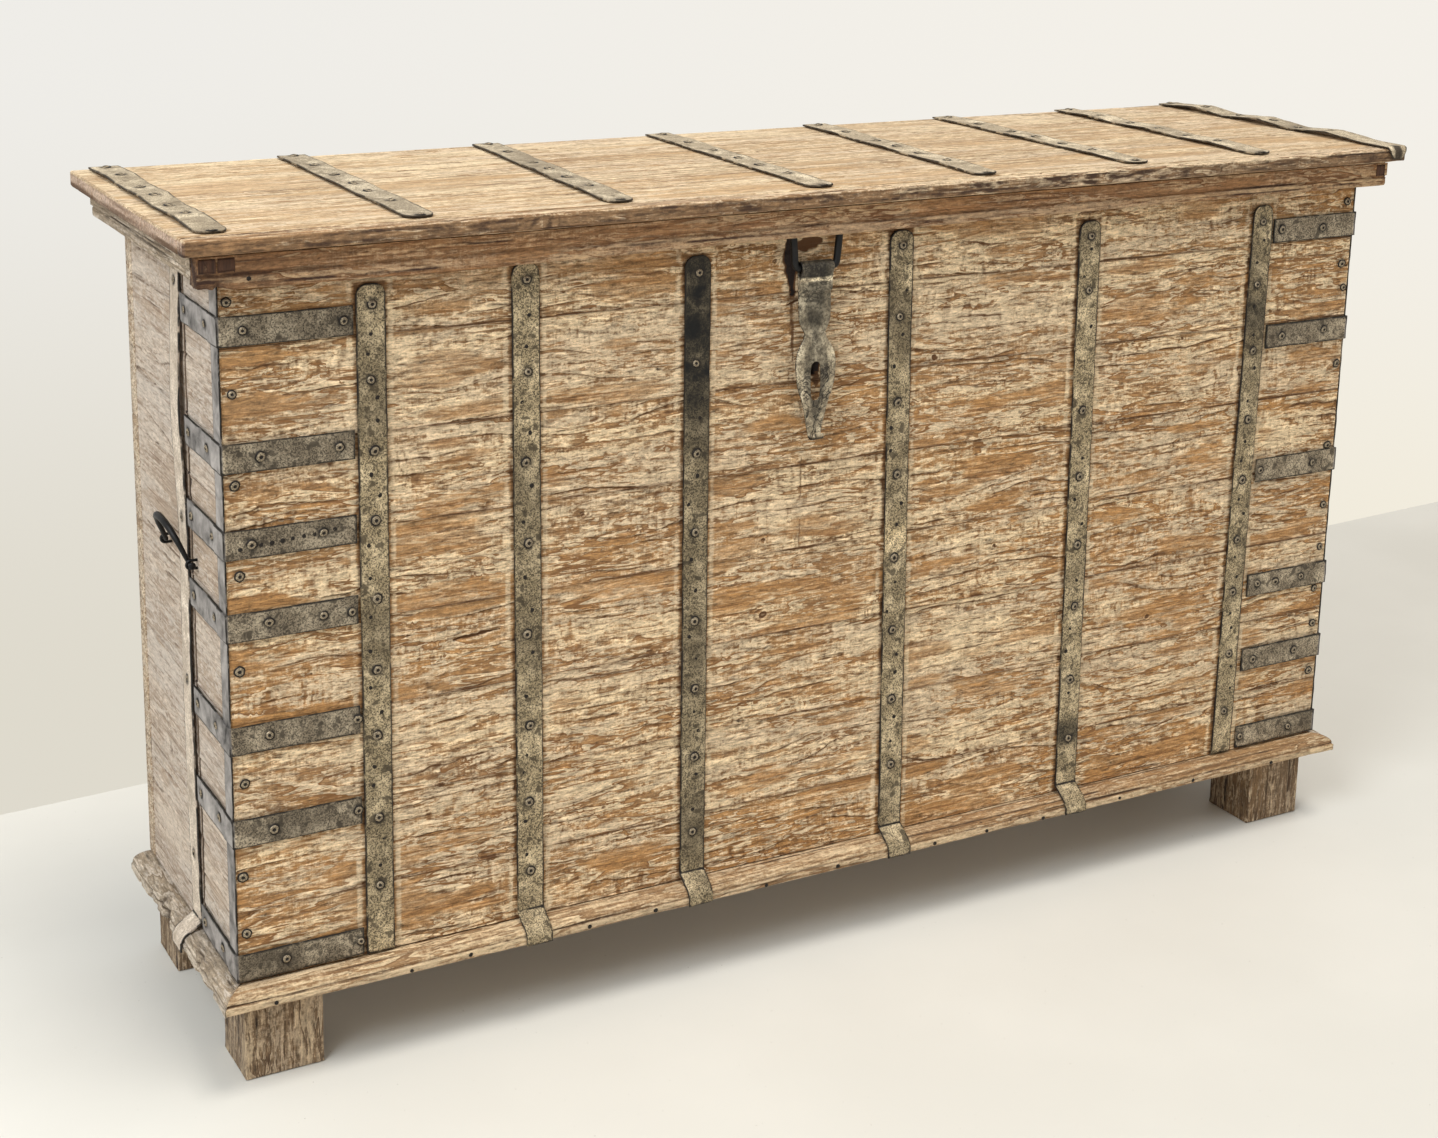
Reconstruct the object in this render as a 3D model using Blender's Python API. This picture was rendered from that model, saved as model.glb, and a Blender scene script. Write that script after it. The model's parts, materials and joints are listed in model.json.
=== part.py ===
"""Wooden trunk on four feet: plank walls bound with iron straps, a hinged plank lid, a hasp and two bails.

Metres, +Z up. X runs along the trunk, the front faces -Y, and the floor is z = 0 under the lid's centre.
"""

import math

import bmesh
import bpy
from mathutils import Vector

# Overall sizes
LID_LENGTH = 1.588
LID_DEPTH = 0.453
LID_TOP = 0.930
LID_THICK = 0.0195
LID_SIDE_OVERHANG = 0.044
LID_FRONT_OVERHANG = 0.041
LID_BACK_OVERHANG = 0.058
FOOT_HEIGHT = 0.097
SILL_HEIGHT = 0.023
BOARD_THICK = 0.024
FLOOR_THICK = 0.018
CLEAR = 0.0003
BOARD_GAP = 0.0008
PANEL_GROOVE_WIDTH = 0.0024
PANEL_GROOVE_DEPTH = 0.0045
EDGE_EASE = 0.0015
SHARP_ANGLE = math.radians(40)

# Walls: where the joints between boards lie, as shares of the wall's height
FRONT_JOINT_SHARES = (0.0, 0.101, 0.228, 0.361, 0.487, 0.614, 0.741, 0.873, 1.0)
SIDE_JOINT_SHARES = (0.0, 0.189, 0.371, 0.528, 0.667, 0.751, 0.892, 1.0)
BACK_JOINT_SHARES = (0.0, 0.17, 0.35, 0.51, 0.68, 0.83, 1.0)
FLOOR_JOINT_SHARES = (0.0, 0.34, 0.67, 1.0)

# Feet
FOOT_WIDTH = 0.091
FOOT_DEPTH = 0.080
FOOT_SIDE_SET = 0.0045
FOOT_FACE_SET = 0.007
FOOT_EASE = 0.003

# Sill frame, moulded on the front and the sides
SILL_INSET = 0.040
SILL_OVERHANG = 0.024
SILL_FILLET = 0.0105
SILL_QUIRK = 0.0015
SILL_TOP_FLAT = 0.003
SILL_ROUND_STEPS = 5

# Cornice under the lid's front and side edges
CORNICE_HEIGHT = 0.0325
CORNICE_OVERHANG = 0.028
CORNICE_RUN_GAP = 0.0015
CORNICE_STEP = 0.002
CORNICE_GROOVE = 0.001
CORNICE_BEAD = 0.012
CORNICE_ROUND = 0.004
CORNICE_ROUND_STEPS = 3
CORNICE_BACK_REACH = 0.040
TENON_WIDTH = 0.0125
TENON_HEIGHT = 0.0145
TENON_TOP_SET = 0.0030
TENON_PROUD = 0.0005
CUT_OVERRUN = 0.005

# Lid boards, front to back
LID_EDGE_BOARD = 0.025
LID_JOINT_SHARES = (0.0, 0.30, 0.766, 1.0)
LID_NOSE = 0.007
LID_NOSE_STEPS = 3
LID_BOARD_NAMES = ("lid_board_front", "lid_board_middle", "lid_board_back")

# Iron straps
STRAP_THICK = 0.002
STRAP_WIDTH = 0.032
STRAP_BEND = 0.008
ROUND_END_SHARES = ((0.0, 0.38), (0.10, 0.62), (0.32, 0.86), (0.65, 0.98), (1.0, 1.0))
FRONT_STRAP_TOP_SET = 0.0065
FRONT_STRAP_TOP_SPREAD = 0.009
FRONT_STRAP_TOP_SHARES = (0.85, 0.0, 1.0, 0.0, 1.0, 1.0)
FRONT_STRAP_HIGH_SHARES = (-0.3953, -0.2813, -0.1440, 0.0327, 0.2140, 0.3973)
FRONT_STRAP_LOW_SHARES = (-0.3953, -0.2767, -0.1400, 0.0427, 0.2213, 0.3933)
FRONT_STRAPS_OVER_SILL = (2, 3, 4, 5)
SHORT_STRAP_SET = 0.0015
STRAP_SILL_SET = 0.001
OVER_SILL_MARGIN = 0.0002
OVER_SILL_TURN = math.radians(58)
CORNER_STRAP_WIDTH = 0.031
CORNER_STRAP_GAP = 0.003
CORNER_STRAP_REACH = 0.130
CORNER_JOGGLE = 0.006
LEFT_CORNER_SHARES = (0.0225, 0.216, 0.347, 0.5025, 0.614, 0.729, 0.895)
RIGHT_CORNER_SHARES = (0.0225, 0.161, 0.293, 0.493, 0.720, 0.895)
CORNER_IRON_WIDTH = 0.025
CORNER_IRON_THICK = 0.0015
CORNER_IRON_LOW_SET = 0.008
CORNER_IRON_HIGH_SET = 0.003
CORNER_WELD = 0.0004
SIDE_STRAP_SET = 0.133
SIDE_STRAP_BULGE = 0.005
SIDE_STRAP_BULGE_SHARES = (1.0, 0.35)
SIDE_STRAP_SEAT_SHARES = (0.03, 0.40, 0.92)
SIDE_STRAP_TOP_SET = 0.0015

# Lid straps: their middles at the back and at the front, as shares of the lid's length
LID_STRAP_WIDTH = 0.034
LID_STRAP_FRONT_SET = 0.026
LID_STRAP_BACK_SET = 0.004
LID_STRAP_BACK_SHARES = (-0.4767, -0.3388, -0.1839, -0.0353, 0.1115, 0.2406, 0.3703, 0.4880)
LID_STRAP_FRONT_SHARES = (-0.4767, -0.3413, -0.1984, -0.0409, 0.0995, 0.2406, 0.3621, 0.4885)
LID_STRAP_LIFT = 0.005
LID_STRAP_LIFT_SHARES = (0.5, 0.2, 0.25, 0.15, 0.3, 0.2, 0.5, 1.0)
LID_STRAP_SEAT_SHARES = (0.055, 0.36, 0.68, 0.965)
BULGE_STEPS = 4

# Hinges at the back
HINGE_PLACE_SHARES = (-0.31, 0.31)
HINGE_WIDTH = 0.070
HINGE_MIDDLE = 0.026
HINGE_THICK = 0.0025
HINGE_PIN_RADIUS = 0.003
HINGE_PIN_CLEAR = 0.0004
HINGE_PIN_HEAD = 0.0045
HINGE_PIN_HEAD_THICK = 0.0015
HINGE_PIN_SIDES = 12
HINGE_WALL_LEAF = 0.062
HINGE_LID_LEAF = 0.036
HINGE_KNUCKLE_CLEAR = 0.0006
HINGE_NECK = 0.0085
HINGE_ROLL_TURN = math.radians(285)
HINGE_ROLL_STEPS = 11

# Hasp and the staple that carries it
HASP_X = -0.0715
HASP_DROP = 0.038
HASP_STANDOFF = 0.0125
HASP_THICK = 0.003
HASP_LENGTH = 0.199
HASP_WIDTH = 0.053
HASP_LEAN = 0.004
HASP_CRANK = 0.004
HASP_FOLD_GAP = 0.0004
HASP_TAIL = 0.029
HASP_TAIL_WIDTH_SHARE = 0.80
HASP_PINCH = 0.0135
HASP_LOOP_START = math.radians(38)
HASP_LOOP_STEPS = 12
HASP_SLOT_WIDTH = 0.013
HASP_CURL_RADIUS = 0.0045
HASP_CURL_TURN = math.radians(205)
HASP_CURL_STEPS = 7
HASP_TIP_SHARE = 0.27
HASP_INNER_SHARE = 0.33
# Down the leaf: place along it, half-width, forward crank, and the slot's half-width
HASP_LEAF_SHARES = (
    (0.085, 0.81, 0.00, 0.00),
    (0.200, 0.80, 0.00, 0.00),
    (0.305, 0.79, 0.00, 0.00),
    (0.348, 0.66, 0.12, 0.00),
    (0.381, 0.51, 0.30, 0.00),
    (0.415, 0.58, 0.52, 0.00),
    (0.450, 0.77, 0.75, 0.00),
    (0.495, 0.92, 0.92, 0.00),
    (0.548, 1.00, 1.00, 0.40),
    (0.565, 1.00, 1.00, 0.88),
    (0.610, 0.99, 1.00, 1.00),
    (0.677, 0.92, 1.00, 1.00),
    (0.730, 0.80, 0.95, 0.95),
    (0.762, 0.71, 0.90, 0.80),
    (0.776, 0.67, 0.86, 0.40),
    (0.830, 0.56, 0.70, 0.00),
    (0.885, 0.46, 0.52, 0.00),
    (0.940, 0.37, 0.42, 0.00),
    (0.975, 0.32, 0.40, 0.00),
)
STAPLE_ROD = 0.0042
STAPLE_CLEAR = 0.0006
STAPLE_TOP_SPREAD = 0.0300
STAPLE_SPREAD = 0.0275
STAPLE_CORNER = 0.0055
STAPLE_CORNER_STEPS = 4
STAPLE_SOCKET = 0.014
LOCK_HOLE_WIDTH = 0.013
LOCK_HOLE_HEIGHT = 0.020
LOCK_HOLE_DEPTH = 0.014
LOCK_HOLE_X = -0.064
LOCK_HOLE_LIFT = 0.003

# Bails on the two ends
BAIL_HALF_WIDTH = 0.041
BAIL_HEIGHT = 0.0435
BAIL_TILT = math.radians(23)
BAIL_GRIP_RADIUS = 0.0046
BAIL_PIN_RADIUS = 0.0024
BAIL_BEND = 0.0042
BAIL_PIN_LENGTH = 0.0075
BAIL_KNOB_RADIUS = 0.0040
BAIL_KNOB_LENGTH = 0.0030
BAIL_SQUARENESS = 2.5
BAIL_STEPS = 16
BAIL_BEND_STEPS = 3
BAIL_HEIGHT_Z = 0.5532
BAIL_MIDDLE_SET = 0.159
BAIL_STANDOFF = 0.006
EYE_WIRE = 0.0016
EYE_CLEAR = 0.0005
EYE_STEPS = 6
EYE_SIDES = 6
BAR_SIDES = 8

# Colours, with roughness and metallic value
FINISHES = {
    "front_wood": ((0.52, 0.37, 0.235), 0.85, 0.0),
    "side_wood": ((0.50, 0.42, 0.355), 0.88, 0.0),
    "lid_wood": ((0.66, 0.50, 0.33), 0.80, 0.0),
    "foot_wood": ((0.40, 0.31, 0.22), 0.88, 0.0),
    "strap_iron": ((0.185, 0.170, 0.130), 0.70, 0.35),
    "edge_iron": ((0.40, 0.40, 0.44), 0.65, 0.30),
    "hasp_iron": ((0.245, 0.215, 0.165), 0.68, 0.40),
    "black_iron": ((0.030, 0.027, 0.026), 0.55, 0.50),
    "pin_iron": ((0.120, 0.110, 0.085), 0.65, 0.40),
}

# Places worked out from the sizes
END_X = LID_LENGTH / 2 - LID_SIDE_OVERHANG
FRONT_Y = -LID_DEPTH / 2 + LID_FRONT_OVERHANG
BACK_Y = LID_DEPTH / 2 - LID_BACK_OVERHANG
SILL_BOTTOM = FOOT_HEIGHT + CLEAR
SILL_TOP = SILL_BOTTOM + SILL_HEIGHT
WALL_BOTTOM = SILL_TOP + CLEAR
LID_BOTTOM = LID_TOP - LID_THICK
WALL_TOP = LID_BOTTOM - CLEAR
WALL_HEIGHT = WALL_TOP - WALL_BOTTOM
CORNICE_TOP = LID_BOTTOM - CLEAR
CORNICE_BOTTOM = CORNICE_TOP - CORNICE_HEIGHT
STRAP_MIDDLE = CLEAR + STRAP_THICK / 2
HINGE_ROLL = HINGE_PIN_RADIUS + HINGE_PIN_CLEAR + HINGE_THICK / 2
HINGE_OUTSIDE = HINGE_ROLL + HINGE_THICK / 2
HINGE_AXIS = Vector((0.0, BACK_Y + CLEAR + HINGE_OUTSIDE, LID_BOTTOM - CLEAR - HINGE_OUTSIDE))
HASP_AXIS = Vector((HASP_X, FRONT_Y - HASP_STANDOFF, CORNICE_BOTTOM - HASP_DROP))
BAIL_MIDDLE_Y = FRONT_Y + BAIL_MIDDLE_SET


def clear_scene():
    for old in list(bpy.data.objects):
        bpy.data.objects.remove(old)


def finish(name):
    """Material of one of the named finishes, made once."""
    made = bpy.data.materials.get(name)
    if made:
        return made
    colour, roughness, metallic = FINISHES[name]
    made = bpy.data.materials.new(name)
    made.use_nodes = True
    surface = made.node_tree.nodes["Principled BSDF"]
    surface.inputs["Base Color"].default_value = (*colour, 1.0)
    surface.inputs["Roughness"].default_value = roughness
    surface.inputs["Metallic"].default_value = metallic
    made.diffuse_color = (*colour, 1.0)
    return made


def axis_empty(name, point, carrier=None):
    """Empty on a joint's axis. What moves with the joint hangs under it."""
    empty = bpy.data.objects.new(name, None)
    empty.location = point - (world_point(carrier) if carrier else Vector())
    empty.parent = carrier
    bpy.context.collection.objects.link(empty)
    return empty


def world_point(item):
    """Where an unturned empty lies, through all its parents."""
    point = Vector()
    while item:
        point += item.location
        item = item.parent
    return point


def add_object(name, bm, finish_name, carrier=None, smooth=False):
    """Turns a mesh drawn in world places into an object, with its origin on its carrier's axis."""
    if carrier:
        bmesh.ops.translate(bm, verts=bm.verts, vec=-world_point(carrier))
    mesh = bpy.data.meshes.new(name)
    bm.to_mesh(mesh)
    bm.free()
    if smooth:
        mesh.shade_smooth()
        mesh.set_sharp_from_angle(angle=SHARP_ANGLE)
    mesh.materials.append(finish(finish_name))
    made = bpy.data.objects.new(name, mesh)
    made.parent = carrier
    bpy.context.collection.objects.link(made)
    return made


def add_block(bm, low, high):
    """Rectangular block between two corners."""
    block = bmesh.ops.create_cube(bm, size=1.0)["verts"]
    spans = [top - bottom for bottom, top in zip(low, high)]
    middle = [(top + bottom) / 2 for bottom, top in zip(low, high)]
    bmesh.ops.scale(bm, verts=block, vec=spans)
    bmesh.ops.translate(bm, verts=block, vec=middle)
    return block


def ease_edges(item, width):
    bevel = item.modifiers.new("eased edges", "BEVEL")
    bevel.width = width
    bevel.segments = 1
    bevel.limit_method = "ANGLE"


def timber(name, low, high, finish_name, ease=EDGE_EASE):
    """Squared timber with eased edges, between two corners."""
    bm = bmesh.new()
    add_block(bm, low, high)
    made = add_object(name, bm, finish_name)
    ease_edges(made, ease)
    return made


def layers(low, high, shares, gap):
    """Spans between the joints of a wall, each pair of neighbours a gap apart."""
    edges = [low + (high - low) * share for share in shares]
    spans = []
    for lower, upper in zip(edges, edges[1:]):
        spans.append((lower + (gap / 2 if lower > low else 0.0), upper - (gap / 2 if upper < high else 0.0)))
    return spans


def rail(name, profile, ends, place, finish_name, carrier=None):
    """Straight moulding: a profile of (outward, z) run between two ends, which may be mitred."""
    bm = bmesh.new()
    loops = []
    for end in range(2):
        loops.append([bm.verts.new(place(ends(outward)[end], outward, z)) for outward, z in profile])
    start, stop = loops
    bm.faces.new(start)
    bm.faces.new(stop)
    for index in range(len(profile)):
        after = (index + 1) % len(profile)
        bm.faces.new((start[index], start[after], stop[after], stop[index]))
    bmesh.ops.recalc_face_normals(bm, faces=bm.faces)
    return add_object(name, bm, finish_name, carrier)


def no_opening(down, over):
    return False


def sheet(name, grids, thick, finish_name, carrier=None, is_open=no_opening):
    """Sheet iron of even thickness about its middle surface, from grids of rows of points."""
    bm = bmesh.new()
    for rows in grids:
        corners = [[bm.verts.new(point) for point in row] for row in rows]
        for down in range(len(rows) - 1):
            for over in range(len(rows[0]) - 1):
                if is_open(down, over):
                    continue
                upper, lower = corners[down], corners[down + 1]
                bm.faces.new((upper[over], lower[over], lower[over + 1], upper[over + 1]))
    loose = [vert for vert in bm.verts if not vert.link_faces]
    bmesh.ops.delete(bm, geom=loose, context="VERTS")
    bmesh.ops.recalc_face_normals(bm, faces=bm.faces)
    made = add_object(name, bm, finish_name, carrier, smooth=True)
    solid = made.modifiers.new("thickness", "SOLIDIFY")
    solid.thickness = thick
    solid.offset = 0.0
    solid.use_even_offset = True
    return made


def strap_rows(route, across, half_width, round_start=False, round_end=False):
    """Rows of a strap along a route of points, with half-round ends where asked."""
    stations = [(point, half_width) for point in route]
    if round_start:
        stations = rounded_end(route[0], route[1], half_width) + stations[1:]
    if round_end:
        stations = stations[:-1] + rounded_end(route[-1], route[-2], half_width)[::-1]
    return [(point - across * half, point + across * half) for point, half in stations]


def rounded_end(tip, inner, half_width):
    """Stations from a strap's tip inwards, widening to its full half-width."""
    inward = (inner - tip).normalized()
    return [(tip + inward * (half_width * reach), half_width * wide) for reach, wide in ROUND_END_SHARES]


def ring(bm, centre, radius, one_way, other_way, sides):
    """Corners of a circle about a centre, in the plane of two square directions."""
    corners = []
    for side in range(sides):
        turn = 2 * math.pi * side / sides
        offset = one_way * math.cos(turn) + other_way * math.sin(turn)
        corners.append(bm.verts.new(centre + offset * radius))
    return corners


def skin(bm, rings):
    """Closes a row of rings into a solid: flat caps on the first and last, and bands between."""
    made = [bm.faces.new(rings[0]), bm.faces.new(rings[-1])]
    sides = len(rings[0])
    for here, there in zip(rings, rings[1:]):
        for side in range(sides):
            after = (side + 1) % sides
            made.append(bm.faces.new((here[side], here[after], there[after], there[side])))
    bmesh.ops.recalc_face_normals(bm, faces=made)


def bar(bm, centres, radii, normal, sides=BAR_SIDES):
    """Round bar along points that lie in one plane, with its radius at each and flat ends."""
    rings = []
    for index, centre in enumerate(centres):
        before = centres[max(index - 1, 0)]
        after = centres[min(index + 1, len(centres) - 1)]
        inward = (after - before).normalized().cross(normal)
        rings.append(ring(bm, centre, radii[index], normal, inward, sides))
    skin(bm, rings)


def cut(item, low, high, label):
    """Takes a block-shaped hole out of a piece."""
    bm = bmesh.new()
    add_block(bm, low, high)
    combine(item, add_object(label, bm, "black_iron", item.parent), "DIFFERENCE")


def combine(item, form, operation):
    """Cuts a hidden form out of a piece, or joins it to the piece."""
    form.hide_render = True
    form.display_type = "WIRE"
    step = item.modifiers.new(form.name, "BOOLEAN")
    step.operation = operation
    step.object = form


def front_wall():
    boards = []
    spans = layers(WALL_BOTTOM, WALL_TOP, FRONT_JOINT_SHARES, BOARD_GAP)
    for number, (low, high) in enumerate(spans, start=1):
        corners = ((-END_X, FRONT_Y, low), (END_X, FRONT_Y + BOARD_THICK, high))
        boards.append(timber(f"front_board_{number}", *corners, "front_wood"))
    hole_low = spans[-2][0] + LOCK_HOLE_LIFT
    cut(
        boards[-2],
        (LOCK_HOLE_X - LOCK_HOLE_WIDTH / 2, FRONT_Y - CUT_OVERRUN, hole_low),
        (LOCK_HOLE_X + LOCK_HOLE_WIDTH / 2, FRONT_Y + LOCK_HOLE_DEPTH, hole_low + LOCK_HOLE_HEIGHT),
        "lock_hole_cutter",
    )


def grooved(low, high, shares, outside, inside):
    """Section of a panel of joined boards: (depth, height) with a groove on both faces at each joint."""
    joints = [low + (high - low) * share for share in shares[1:-1]]
    half = PANEL_GROOVE_WIDTH / 2
    section = [(outside, low)]
    for joint in joints:
        section += [(outside, joint - half), (outside - PANEL_GROOVE_DEPTH, joint), (outside, joint + half)]
    section += [(outside, high), (inside, high)]
    for joint in reversed(joints):
        section += [(inside, joint + half), (inside + PANEL_GROOVE_DEPTH, joint), (inside, joint - half)]
    section.append((inside, low))
    return section


def back_wall():
    section = grooved(WALL_BOTTOM, WALL_TOP, BACK_JOINT_SHARES, 0.0, -BOARD_THICK)

    def place(along, outward, z):
        return Vector((along, BACK_Y + outward, z))

    rail("back_panel", section, lambda outward: (-END_X, END_X), place, "side_wood")


def side_wall(name, side):
    """End wall between the front and back boards, its boards joined into one panel."""
    section = grooved(WALL_BOTTOM, WALL_TOP, SIDE_JOINT_SHARES, 0.0, -BOARD_THICK)
    ends = FRONT_Y + BOARD_THICK + CLEAR, BACK_Y - BOARD_THICK - CLEAR

    def place(along, outward, z):
        return Vector((side * (END_X + outward), along, z))

    rail(f"{name}_side_panel", section, lambda outward: ends, place, "side_wood")


def floor():
    """Bottom of the box, lying on the sill inside the four walls."""
    reach = END_X - BOARD_THICK - CLEAR
    front, back = FRONT_Y + BOARD_THICK + CLEAR, BACK_Y - BOARD_THICK - CLEAR
    section = grooved(front, back, FLOOR_JOINT_SHARES, WALL_BOTTOM + FLOOR_THICK, WALL_BOTTOM)

    def place(along, z, y):
        return Vector((along, y, z))

    rail("floor_panel", section, lambda z: (-reach, reach), place, "side_wood")


def feet():
    for end_name, side in (("left", -1), ("right", 1)):
        outer = side * (END_X - FOOT_SIDE_SET)
        left, right = sorted((outer, outer - side * FOOT_WIDTH))
        front = FRONT_Y + FOOT_FACE_SET
        back = BACK_Y - FOOT_FACE_SET
        for face_name, near in (("front", front), ("back", back - FOOT_DEPTH)):
            corners = ((left, near, 0.0), (right, near + FOOT_DEPTH, FOOT_HEIGHT))
            timber(f"foot_{face_name}_{end_name}", *corners, "foot_wood", FOOT_EASE)


def sill_round(extra, first=math.pi / 2):
    """Rounded top of the sill moulding as (outward, z), grown outwards by some extra."""
    wide = SILL_OVERHANG - SILL_QUIRK - SILL_TOP_FLAT + extra
    tall = SILL_HEIGHT - SILL_FILLET + extra
    points = []
    for step in range(SILL_ROUND_STEPS + 1):
        turn = first * (1 - step / SILL_ROUND_STEPS)
        outward = SILL_TOP_FLAT + wide * math.cos(turn)
        points.append((outward, SILL_BOTTOM + SILL_FILLET + tall * math.sin(turn)))
    return points


def sill_profile():
    profile = [(-SILL_INSET, SILL_BOTTOM), (-SILL_INSET, SILL_TOP)]
    profile += sill_round(0.0)
    profile += [(SILL_OVERHANG, SILL_BOTTOM + SILL_FILLET)]
    profile += [(SILL_OVERHANG, SILL_BOTTOM + SILL_QUIRK), (SILL_OVERHANG - SILL_QUIRK, SILL_BOTTOM)]
    return profile


def sill_frame():
    """Moulded sill rails, mitred at the front corners, and a plain back rail between the side rails."""
    profile = sill_profile()

    def front_ends(outward):
        reach = END_X + outward - CLEAR
        return -reach, reach

    def front_place(along, outward, z):
        return Vector((along, FRONT_Y - outward, z))

    rail("base_moulding_front", profile, front_ends, front_place, "front_wood")
    for name, side in (("left", -1), ("right", 1)):

        def side_ends(outward):
            return FRONT_Y - outward + CLEAR, BACK_Y

        def side_place(along, outward, z):
            return Vector((side * (END_X + outward), along, z))

        rail(f"base_moulding_{name}", profile, side_ends, side_place, "side_wood")
    reach = END_X - SILL_INSET - CLEAR
    corners = ((-reach, BACK_Y - SILL_INSET, SILL_BOTTOM), (reach, BACK_Y, SILL_TOP))
    timber("base_rail_back", *corners, "side_wood")


def cornice_profile():
    fascia = CORNICE_OVERHANG
    bead = CORNICE_OVERHANG - CORNICE_STEP
    profile = [(CORNICE_RUN_GAP, CORNICE_BOTTOM)]
    for step in range(CORNICE_ROUND_STEPS + 1):
        turn = math.pi / 2 * step / CORNICE_ROUND_STEPS
        outward = bead - CORNICE_ROUND + CORNICE_ROUND * math.sin(turn)
        profile.append((outward, CORNICE_BOTTOM + CORNICE_ROUND - CORNICE_ROUND * math.cos(turn)))
    profile += [
        (bead, CORNICE_BOTTOM + CORNICE_BEAD),
        (bead - CORNICE_GROOVE, CORNICE_BOTTOM + CORNICE_BEAD + CORNICE_GROOVE),
        (fascia, CORNICE_BOTTOM + CORNICE_BEAD + CORNICE_STEP),
        (fascia, CORNICE_TOP),
        (CORNICE_RUN_GAP, CORNICE_TOP),
    ]
    return profile


def cornice(lid_axis):
    """Front rail over the full length, and side rails whose tenons come through it."""
    profile = cornice_profile()
    reach = END_X + CORNICE_OVERHANG

    def front_place(along, outward, z):
        return Vector((along, FRONT_Y - outward, z))

    def front_ends(outward):
        return -reach, reach

    front = rail("cornice_front", profile, front_ends, front_place, "front_wood", lid_axis)
    high = CORNICE_TOP - TENON_TOP_SET
    low = high - TENON_HEIGHT
    face = FRONT_Y - CORNICE_OVERHANG
    half = TENON_WIDTH / 2 + CLEAR
    for name, side in (("left", -1), ("right", 1)):
        middle = side * (END_X + (CORNICE_RUN_GAP + CORNICE_OVERHANG) / 2)
        side_rail(name, side, middle, profile, lid_axis)
        corners = (middle - half, face - CUT_OVERRUN, low - CLEAR), (middle + half, FRONT_Y, high + CLEAR)
        cut(front, *corners, f"{name}_mortise_cutter")
    staple_sockets(front)


def side_rail(name, side, tenon_x, profile, lid_axis):
    """Side rail of the cornice: the moulded run with its tenon grown from the front end."""
    shoulder = FRONT_Y - CORNICE_RUN_GAP + CLEAR

    def ends(outward):
        return shoulder, BACK_Y + CORNICE_BACK_REACH

    def place(along, outward, z):
        return Vector((side * (END_X + outward), along, z))

    made = rail(f"cornice_{name}", profile, ends, place, "side_wood", lid_axis)
    high = CORNICE_TOP - TENON_TOP_SET
    bm = bmesh.new()
    tip = FRONT_Y - CORNICE_OVERHANG - TENON_PROUD
    add_block(
        bm,
        (tenon_x - TENON_WIDTH / 2, tip, high - TENON_HEIGHT),
        (tenon_x + TENON_WIDTH / 2, shoulder + CUT_OVERRUN, high),
    )
    combine(made, add_object(f"{name}_tenon_form", bm, "side_wood", lid_axis), "UNION")


def staple_sockets(front):
    """Blind sockets in the cornice for the two legs of the hasp's staple."""
    for name, side in (("left", -1), ("right", 1)):
        top = HASP_AXIS + Vector((side * STAPLE_TOP_SPREAD, 0.0, HASP_DROP))
        bm = bmesh.new()
        ends = [top - Vector((0.0, 0.0, CUT_OVERRUN)), top + Vector((0.0, 0.0, STAPLE_SOCKET + CLEAR))]
        radius = STAPLE_ROD + CLEAR
        bar(bm, ends, [radius, radius], Vector((0.0, 1.0, 0.0)))
        combine(front, add_object(f"{name}_socket_cutter", bm, "black_iron", front.parent), "DIFFERENCE")


def lid_boards(lid_axis):
    """Three planks and a narrow front edge board, rounded where they form the lid's outline."""
    reach = LID_LENGTH / 2
    front = -LID_DEPTH / 2
    inner = front + LID_EDGE_BOARD
    lid_board("lid_front_edge", front, inner - BOARD_GAP / 2, reach, lid_axis)
    spans = layers(inner, LID_DEPTH / 2, LID_JOINT_SHARES, BOARD_GAP)
    for name, (near, far) in zip(LID_BOARD_NAMES, spans):
        if name == LID_BOARD_NAMES[0]:
            near += BOARD_GAP / 2
        lid_board(name, near, far, reach, lid_axis)


def lid_board(name, near, far, reach, lid_axis):
    """Lid board whose level edges are rounded where they lie on the lid's outline."""
    bm = bmesh.new()
    add_block(bm, (-reach, near, LID_BOTTOM), (reach, far, LID_TOP))
    outline = []
    for edge in bm.edges:
        start, stop = edge.verts[0].co, edge.verts[1].co
        at_end = start.x == stop.x
        at_front_or_back = start.y == stop.y and math.isclose(abs(start.y), LID_DEPTH / 2, abs_tol=CLEAR)
        if start.z == stop.z and (at_end or at_front_or_back):
            outline.append(edge)
    bmesh.ops.bevel(bm, geom=outline, offset=LID_NOSE, segments=LID_NOSE_STEPS, profile=0.5, affect="EDGES")
    made = add_object(name, bm, "lid_wood", lid_axis, smooth=True)
    ease_edges(made, EDGE_EASE / 2)
    return made


def over_sill_route():
    """Bend of a strap out over the sill moulding, as (outward, z), down to the fillet's foot."""
    extra = STRAP_MIDDLE + OVER_SILL_MARGIN
    route = [(STRAP_MIDDLE, SILL_TOP + extra + STRAP_BEND)]
    route += sill_round(extra, OVER_SILL_TURN)[:-1]
    route.append((SILL_OVERHANG + extra, SILL_BOTTOM + SILL_FILLET))
    route.append((SILL_OVERHANG + extra, SILL_BOTTOM + STRAP_SILL_SET))
    return route


def front_straps():
    """Six upright straps on the front. The middle four bend out over the sill."""
    top_line = CORNICE_BOTTOM - FRONT_STRAP_TOP_SET
    for number in range(1, len(FRONT_STRAP_TOP_SHARES) + 1):
        route = front_strap_route(number, top_line)
        across = Vector((1.0, 0.0, 0.0))
        rows = strap_rows(route, across, STRAP_WIDTH / 2, round_start=True)
        sheet(f"front_strap_{number}", [rows], STRAP_THICK, "strap_iron")


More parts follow.
